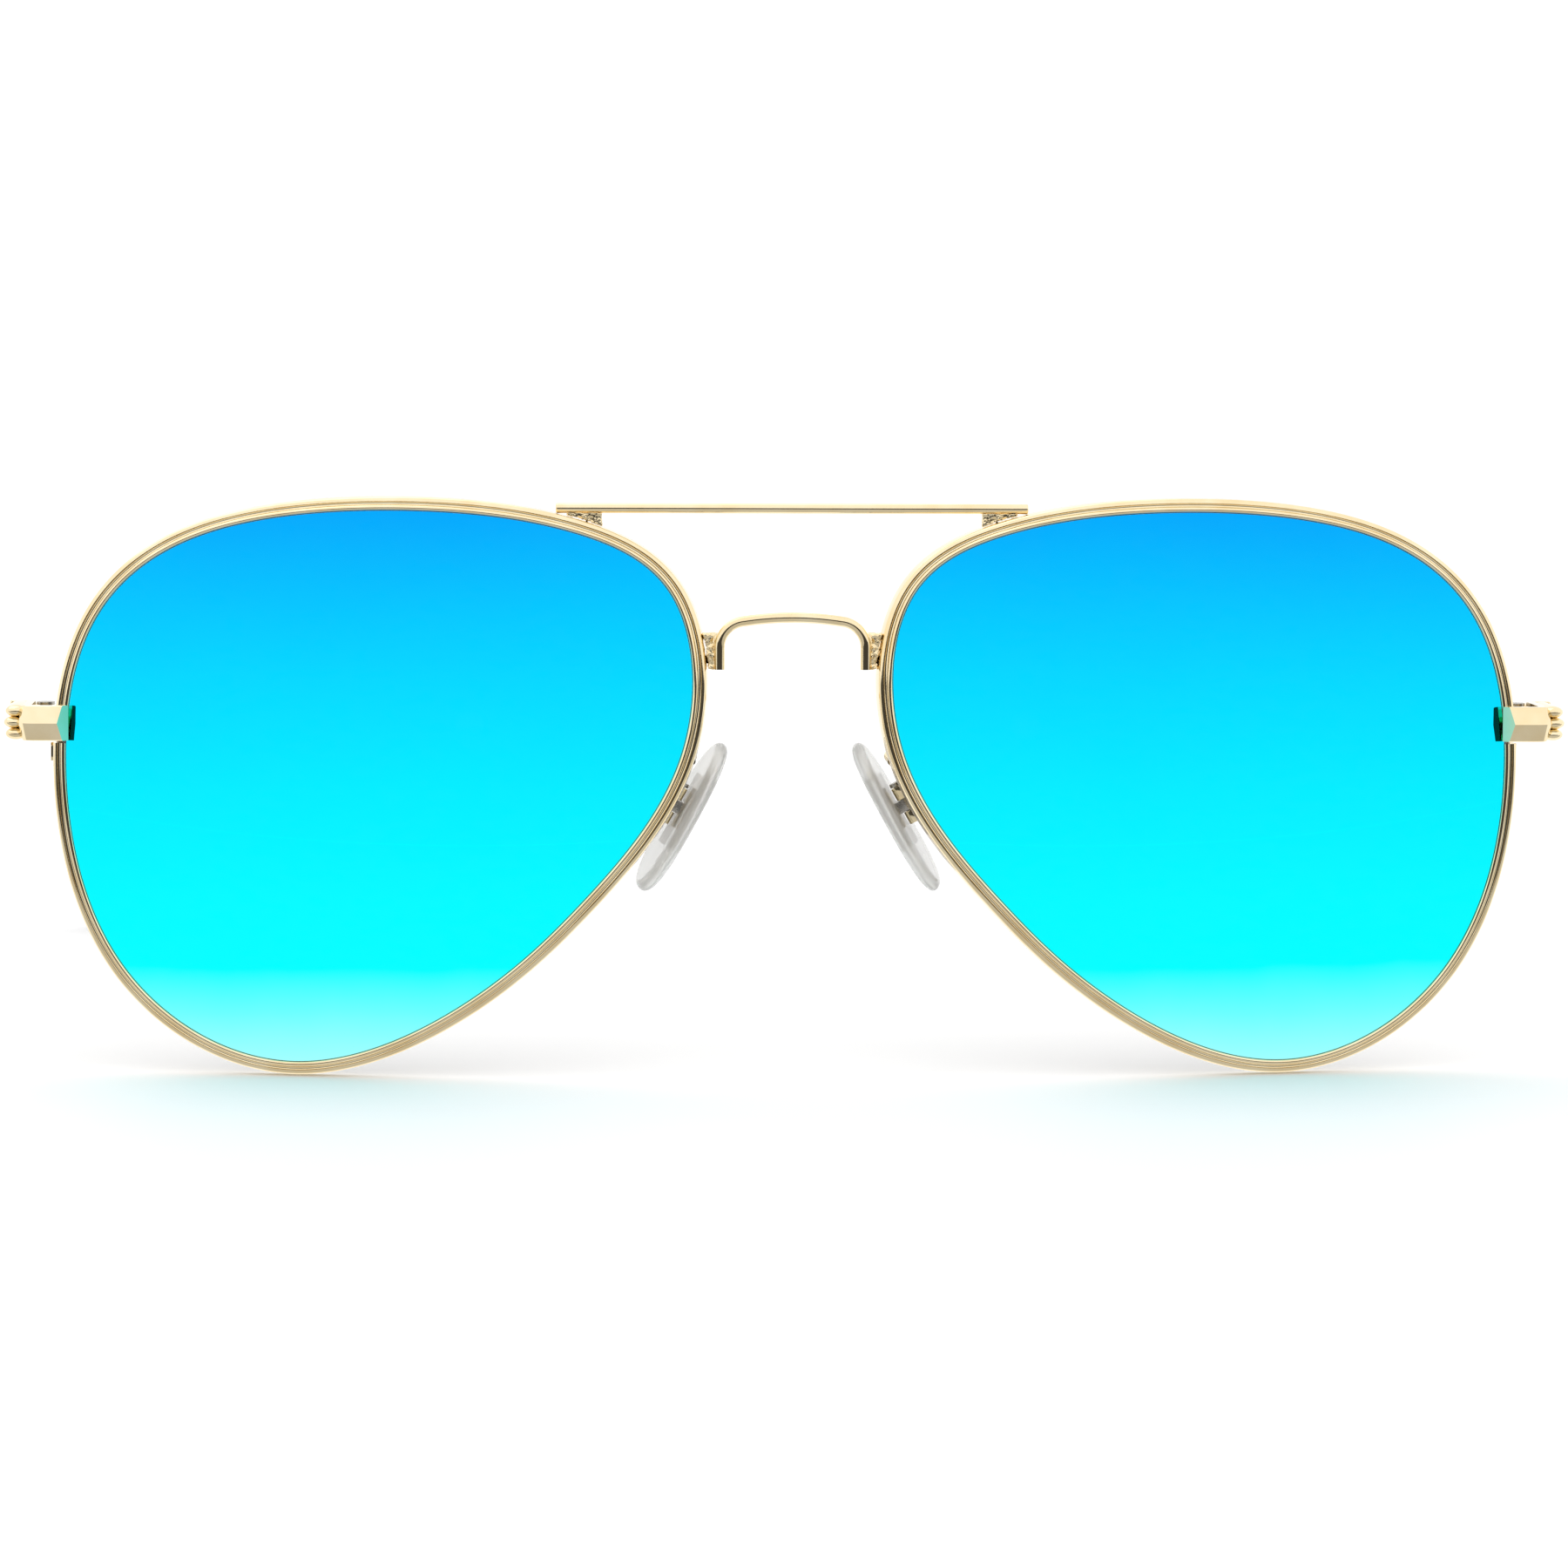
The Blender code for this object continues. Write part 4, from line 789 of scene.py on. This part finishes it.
def endRibs(legX, frontY, endY, middle, half):
    # three oval ribs with domed front ends
    size = endSizes
    depth = size["ribHalfDepth"]
    dome = np.radians([8, 20, 35, 50, 65, 80, 90])
    stations = [(frontY + depth * (1 - math.cos(t)), math.sin(t)) for t in dome]
    stations.append((endY - size["ribShort"], 1.0))
    section = oval(size["ribHalfHeight"], depth, 28)
    shape = loft("ribShape", [[(share * a, y, share * b) for a, b in section] for y, share in stations])
    pitch = (2 * half - 2 * size["ribHalfHeight"]) / (size["ribs"] - 1)
    ribs = newPiece("left_end_ribs", bpy.data.meshes.new("left_end_ribs"))
    lowest = middle - half + size["ribHalfHeight"]
    ribs.location = (legX + size["thickness"] + size["ribProud"] - depth, 0, lowest)
    stack.put(ribs, Shape=shape, Count=size["ribs"], Pitch=pitch, Step=size["ribStep"], Finish=gold)
    ribs = applied(ribs)
    bpy.data.objects.remove(shape)
    return ribs


strap, plan = endStrap()
settle(strap, "front", "gold_metal", gold, "left_end_piece")
settle(endRibs(*plan), "front", "gold_metal", gold, "left_end_piece")
print("end pieces done")


# Temples and their tips

templeSizes = {"height": 3.2 * mm, "headThickness": 2.0 * mm, "headLength": 3.5 * mm, "thickness": 1.25 * mm,
               "edge": 0.22 * mm, "wire": 1.4 * mm, "wireShowing": 1.0 * mm, "straight": 100 * mm,
               "slope": math.radians(5), "bend": 20 * mm, "drop": math.radians(44), "tipBefore": 14 * mm,
               "inward": 2.0 * mm, "inwardRun": 40 * mm, "mouth": (1.7 * mm, 1.35 * mm),
               "end": (2.6 * mm, 1.4 * mm), "coreClear": 5 * mm, "boreGap": 0.16 * mm,
               "rounding": 3.0 * mm, "sides": 48}


class TempleLine:
    # straight and sloping down, then round the ear bend and down the tip
    def __init__(self, size):
        self.size = size
        low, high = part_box("left_temple")
        headLow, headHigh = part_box("left_end_piece")
        x = high.x - size["headThickness"] + size["thickness"] / 2
        y = low.y + math.sin(size["slope"]) * size["height"] / 2
        self.start = Vector((x, y, (headLow.z + headHigh.z) / 2))
        self.bend = size["bend"] * (size["drop"] - size["slope"])
        # the tail is lengthened until its end rests on the floor
        self.tail = size["bend"]
        for _ in range(5):
            lowest = min(point.z for ring in self.endRings() for point in ring)
            self.tail += (lowest - cadBox[0][2]) / math.sin(size["drop"])
        self.length = size["straight"] + self.bend + self.tail

    def at(self, place):
        size = self.size
        along = min(place, size["straight"])
        slope = size["slope"]
        y, z = along * math.cos(slope), -along * math.sin(slope)
        turned = slope + min(max(place - size["straight"], 0), self.bend) / size["bend"]
        y += size["bend"] * (math.sin(turned) - math.sin(slope))
        z -= size["bend"] * (math.cos(slope) - math.cos(turned))
        past = max(place - size["straight"] - self.bend, 0)
        y += past * math.cos(turned)
        z -= past * math.sin(turned)
        inTip = max(place - size["straight"] + size["tipBefore"], 0)
        lean = inTip / (size["tipBefore"] + size["inwardRun"])
        return self.start + Vector((-size["inward"] * lean**2, y, z)), turned

    def ring(self, place, section):
        point, slope = self.at(place)
        up = Vector((0, math.sin(slope), math.cos(slope)))
        return [point + Vector((across, 0, 0)) + up * height for across, height in section]

    def endRings(self):
        size = self.size
        end = size["straight"] + self.bend + self.tail
        rings = []
        for share in (0.0, 0.2, 0.4, 0.55, 0.7, 0.8, 0.88, 0.94, 0.98, 0.995):
            grow = math.sqrt(1 - share**2)
            section = oval(size["end"][0] * grow, size["end"][1] * grow, size["sides"])
            rings.append(self.ring(end - size["rounding"] * (1 - share), section))
        return rings


def strapSection(halfHeight, low, high, radius):
    # a rounded rectangle as (across, up)
    radius = min(radius, halfHeight, (high - low) / 2)
    points = []
    corners = [(high, halfHeight), (low, halfHeight), (low, -halfHeight), (high, -halfHeight)]
    for turn, (x, y) in zip((0, 90, 180, 270), corners):
        centre = (x - math.copysign(radius, x - (low + high) / 2), y - math.copysign(radius, y))
        points += arc(centre, (radius, radius), turn, turn + 90, 6)
    return points


def templeStrap(line):
    # thick head, flat strap that tapers to a round wire, and the wire inside the tip
    size = templeSizes
    half, radius = size["thickness"] / 2, size["wire"] / 2
    mouth = size["straight"] - size["tipBefore"]
    start = size["headLength"] + 2 * (size["headThickness"] - size["thickness"])
    end = mouth - 2 * size["wireShowing"]
    soft = size["edge"]
    tall = size["height"] / 2
    outer = size["headThickness"] - half
    rings = [line.ring(0, strapSection(tall - soft / 2, -half + soft / 2, outer - soft / 2, soft)),
             line.ring(soft / 2, strapSection(tall, -half, outer, soft))]
    for share in np.linspace(0, 1, 9):
        ease = share * share * (3 - 2 * share)
        wide = size["headThickness"] + (size["thickness"] - size["headThickness"]) * ease
        place = size["headLength"] + (start - size["headLength"]) * share
        rings.append(line.ring(place, strapSection(tall, -half, wide - half, soft)))
    for share in np.linspace(0, 1, 41)[1:]:
        height = tall + (radius - tall) * share
        corner = soft + (half - soft) * share
        rings.append(line.ring(start + (end - start) * share, strapSection(height, -half, half, corner)))
    first, last = mouth - size["wireShowing"], line.length - size["coreClear"]
    for share in np.linspace(0, 1, 60):
        rings.append(line.ring(first + (last - first) * share, strapSection(radius, -radius, radius, radius)))
    return loft("left_temple_strap", rings)


def templeSleeve(line):
    # the plastic tip with its bore
    size = templeSizes
    mouth = size["straight"] - size["tipBefore"]
    boreEnd = line.length - size["coreClear"] + 2 * size["boreGap"]
    bore = size["wire"] / 2 + size["boreGap"]
    hole = oval(bore, bore, size["sides"])
    rings = [line.ring(place, hole) for place in np.linspace(boreEnd, mouth, 50)]
    bodyEnd = line.length - size["rounding"]
    # rounded lip first, then the body up to the rounded end
    stations = [(mouth, 0.84), (mouth + 0.12 * mm, 0.92), (mouth + 0.3 * mm, 0.97), (mouth + 0.6 * mm, 1.0)]
    stations += [(place, 1.0) for place in np.linspace(mouth + 1.5 * mm, bodyEnd - 0.4 * mm, 56)]
    for place, share in stations:
        swell = ((place - mouth) / (bodyEnd - mouth)) ** 1.5
        height = size["mouth"][0] + (size["end"][0] - size["mouth"][0]) * swell
        width = size["mouth"][1] + (size["end"][1] - size["mouth"][1]) * swell
        rings.append(line.ring(place, oval(height * share, width * share, size["sides"])))
    rings += line.endRings()
    return loft("left_temple_sleeve", rings)


templeLine = TempleLine(templeSizes)
settle(templeStrap(templeLine), "left_temple", "gold_metal", gold, "left_temple")
settle(templeSleeve(templeLine), "left_temple", "tip_plastic", plastic, "left_temple_tip")
print("temples done")


# Nose pads and their arms

padSizes = {"length": 15.4 * mm, "width": 7.4 * mm, "thickness": 1.5 * mm, "taper": 0.12, "hang": 0.6 * mm,
            "axisDepth": 0.75 * mm, "splay": math.radians(12), "lugRadius": 0.6 * mm,
            "boxBack": 0.4 * mm, "brazeGap": 0.06 * mm, "stations": 72}
armSizes = {"radius": 0.45 * mm, "footHeight": 2.7 * mm, "footOffset": 0.9 * mm, "loop": 2.0 * mm,
            "sides": 28, "steps": 14}


def padFrame():
    # origin on the back of the left pad at its lug, y up the pad, z towards the nose
    joint = joints["left_pad_rock"]
    up = Vector(joint["axis"]).normalized()
    level = up.cross(Vector((0, 1, 0))).normalized()
    if level.x > 0:
        level = -level
    face = level * math.cos(padSizes["splay"]) + Vector((0, 1, 0)) * math.sin(padSizes["splay"])
    turn = Matrix((up.cross(face), up, face)).transposed().to_4x4()
    return Matrix.Translation(Vector(joint["pos_m"]) + face * padSizes["axisDepth"]) @ turn


def padRing(share, depth):
    size = padSizes
    inset = (1 - share) * size["width"] / 2
    points = []
    for turn in 2 * math.pi * (np.arange(size["stations"]) + 0.5) / size["stations"]:
        across = math.copysign(abs(math.cos(turn)) ** 0.8, math.cos(turn))
        along = math.copysign(abs(math.sin(turn)) ** 0.85, math.sin(turn))
        halfWidth = (size["width"] / 2 - inset) * (1 - size["taper"] * along)
        points.append((across * halfWidth, along * (size["length"] / 2 - inset) - size["hang"], depth))
    return points


def siliconePad(place):
    # soft edges all round, a nearly flat back and a domed face
    backTurns = np.radians([15, 30, 45, 60, 75, 90])
    faceTurns = np.radians([12, 24, 36, 48, 60, 70, 80])
    rows = [(0.004, 0.2), (0.0, 0.5), (0.0, 0.74)]
    rows += [(0.45 * (1 - math.cos(t)), 0.74 + 0.26 * math.sin(t)) for t in backTurns]
    rows += [(0.45 + 0.55 * math.sin(t), 0.3 + 0.7 * math.cos(t) ** 0.8) for t in faceTurns]
    rows += [(1.0, 0.3), (1.0, 0.1)]
    rings = [padRing(share, depth * padSizes["thickness"]) for depth, share in rows]
    pad = loft("left_silicone_pad", rings, 50)
    pad.data.transform(place)
    return tidyMesh(pad, 50)


def armWire(place):
    # from the back of the rim, round a loop, to the back of the pad's box
    size = armSizes
    axis = place @ Matrix.Translation((0, 0, -padSizes["axisDepth"]))
    axis = axis @ Matrix(((0, 1, 0), (0, 0, 1), (1, 0, 0))).to_4x4()
    back = padSizes["lugRadius"] + padSizes["boxBack"] + padSizes["brazeGap"]
    loop = size["loop"]
    behind = rimSizes["back"] + 2 * padSizes["brazeGap"]
    foot = home + onRim(size["footHeight"], False, size["footOffset"], -behind)
    route = [foot, foot + Vector((0, 0.45 * loop, 0)), foot + Vector((0, 1.2 * loop, 0.15 * loop)),
             axis @ Vector((-back - 0.8 * loop, 0.5 * loop, loop)),
             axis @ Vector((-back - 1.2 * size["radius"], 0.05 * loop, 0.05 * loop)),
             axis @ Vector((-back - 0.4 * size["radius"], 0, 0)), axis @ Vector((-back, 0, 0))]
    path = polyline("left_arm_wire", throughPoints(route, size["steps"]))
    wireSweep.put(path, Radius=size["radius"], Sides=size["sides"], Finish=gold)
    return applied(path)


padPlace = padFrame()
settle(siliconePad(padPlace), "left_pad", "clear_silicone", silicone, "left_nose_pad")
settle(armWire(padPlace), "front", "gold_metal", gold, "left_pad_arm")
print("nose pads done")


# Small parts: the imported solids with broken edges

# body, finish and the width of the broken edges in millimetres
smallParts = {"hinge_front_leaf": ("front", gold, 0.06), "hinge_temple_leaf": ("left_temple", gold, 0.06),
              "hinge_screw": ("front", steel, 0.05), "upper_closing_block": ("front", gold, 0.08),
              "lower_closing_block": ("front", gold, 0.08), "rim_screw": ("front", steel, 0.05),
              "pad_box": ("front", gold, 0.16), "pad_screw": ("front", steel, 0.04),
              "pad_insert": ("left_pad", steel, 0.05)}


edgeSizes = {"segments": 3, "angle": math.radians(35), "flat": math.radians(1)}


def brokenEdges(node, width):
    piece = newPiece(node + "_finished", frame["nodes"][node].data.copy())
    tidyMesh(piece)
    work = bmesh.new()
    work.from_mesh(piece.data)
    bmesh.ops.dissolve_limit(work, angle_limit=edgeSizes["flat"], verts=work.verts, edges=work.edges)
    work.to_mesh(piece.data)
    work.free()
    edge = piece.modifiers.new("edge", "BEVEL")
    edge.width = width * mm
    edge.segments = edgeSizes["segments"]
    edge.limit_method = "ANGLE"
    edge.angle_limit = edgeSizes["angle"]
    return applied(piece, 35)


for part, (body, finish, width) in smallParts.items():
    slot = "steel" if finish == steel else "gold_metal"
    settle(brokenEdges("left_" + part, width), body, slot, finish, "left_" + part)
print("small parts done")


# Floor, light and camera

roomSizes = {"floor": 300.0, "colour": (0.95, 0.95, 0.95, 1), "roughness": 0.6}


def paleFloor():
    # far larger than the view, and left out of reflections
    half = roomSizes["floor"]
    data = bpy.data.meshes.new("floor")
    corners = [(-half, -half, 0), (half, -half, 0), (half, half, 0), (-half, half, 0)]
    data.from_pydata(corners, [], [(0, 1, 2, 3)])
    floor = newPiece("floor", data)
    material = newMaterial("paleFloor", Base_Color=roomSizes["colour"], Roughness=roomSizes["roughness"])[0]
    data.materials.append(material)
    floor.visible_glossy = False


# brightness of the surrounding studio: bright above, half as bright below, and a dark band at eye
# level in front, between two heights and as wide as bandSide, all in degrees
skyLook = {"above": 1.12, "below": 0.6, "band": 0.06, "bandLow": -11.4, "bandHigh": 11.2, "bandSide": 61,
           "soft": 0.03}


def studio():
    world = bpy.data.worlds.new("studio")
    bpy.context.scene.world = world
    world.use_nodes = True
    graph = Graph(world.node_tree)
    ray = graph.add("ShaderNodeTexCoord", out="Generated")
    x, y, z = (graph.add("ShaderNodeSeparateXYZ", None, ray, out=axis) for axis in "XYZ")
    rise = z.maths("ARCTAN2", z, 0 - y) * (180 / math.pi)
    turn = z.maths("ARCTAN2", z.maths("ABSOLUTE", x), 0 - y) * (180 / math.pi)
    look = skyLook

    def step(value, place):
        # 0 below the place and 1 above it, with a soft edge
        return graph.add("ShaderNodeMapRange", {"interpolation_type": "SMOOTHSTEP"}, value,
                         float(place - look["soft"]), float(place + look["soft"]), 0.0, 1.0)

    upper = z.maths("MAXIMUM", step(rise, look["bandLow"]), step(turn, 90))
    level = look["below"] + (look["above"] - look["below"]) * upper
    tall = step(rise, look["bandLow"]) * (1 - step(rise, look["bandHigh"]))
    band = tall * (1 - step(turn, look["bandSide"]))
    level = level + (look["band"] - level) * band
    seen = graph.add("ShaderNodeLightPath", out="Is Camera Ray")
    level = level + (look["above"] - level) * seen
    background = world.node_tree.nodes["Background"]
    background.inputs["Color"].default_value = (1, 1, 1, 1)
    graph.join(level, background.inputs["Strength"])


keyLight = {"size": 0.9, "height": 0.9, "back": 0.25, "side": -0.35, "power": 1.5}


def softLight():
    data = bpy.data.lights.new("key", "AREA")
    data.shape = "SQUARE"
    data.size = keyLight["size"]
    data.energy = keyLight["power"]
    lamp = newPiece("key", data)
    lamp.location = (keyLight["side"], keyLight["back"], keyLight["height"])
    lamp.rotation_euler = (-lamp.location).to_track_quat("-Z", "Y").to_euler()


screenLight = {"distance": 120.0, "lowest": -45}


def screen(name, low, high, level):
    # a plain far screen between two heights, given in degrees, which only the lenses see
    distance = screenLight["distance"]
    bottom, top = (distance * math.tan(math.radians(angle)) for angle in (low, high))
    data = bpy.data.lights.new(name, "AREA")
    data.shape = "RECTANGLE"
    data.size = 2 * distance * math.tan(math.radians(skyLook["bandSide"]))
    data.size_y = top - bottom
    data.energy = math.pi * data.size * data.size_y * level
    lamp = newPiece(name, data)
    lamp.location = (0, -distance, home.z + (bottom + top) / 2)
    lamp.rotation_euler = (math.pi / 2, 0, 0)
    seen = bpy.data.collections.new(name)
    for side in ("left", "right"):
        seen.objects.link(bpy.data.objects[side + "_lens_film"])
    lamp.light_linking.receiver_collection = seen


def lensLights():
    # for the lenses the dark band and the dim lower half are as bright as the rest
    look = skyLook
    screen("bandScreen", look["bandLow"], look["bandHigh"], look["above"] - look["band"])
    screen("lowScreen", screenLight["lowest"], look["bandLow"], look["above"] - look["below"])


# degrees, apart from the distance, the focal length in millimetres and the shift
cameraView = {"distance": 600 * mm, "azimuth": -3.08, "elevation": 4.44, "roll": -0.26, "focal": 152.17,
              "shift": (-0.00616, 0.00421)}


def shoot():
    look = cameraView
    azimuth, elevation, roll = (math.radians(look[key]) for key in ("azimuth", "elevation", "roll"))
    away = Vector((math.sin(azimuth) * math.cos(elevation), -math.cos(azimuth) * math.cos(elevation),
                   math.sin(elevation)))
    level = Vector((math.cos(azimuth), math.sin(azimuth), 0))
    right = level * math.cos(roll) - away.cross(level) * math.sin(roll)
    up = away.cross(right)
    data = bpy.data.cameras.new("camera")
    data.lens = look["focal"]
    data.sensor_width = 36
    data.shift_x, data.shift_y = look["shift"]
    data.clip_start, data.clip_end = 0.01, 1000
    camera = newPiece("camera", data)
    turn = Matrix((right, up, away)).transposed().to_4x4()
    camera.matrix_world = Matrix.Translation(home + away * look["distance"]) @ turn
    bpy.context.scene.camera = camera


paleFloor()
studio()
softLight()
lensLights()
shoot()
bpy.context.scene.view_settings.view_transform = "Standard"
print("studio and camera set")
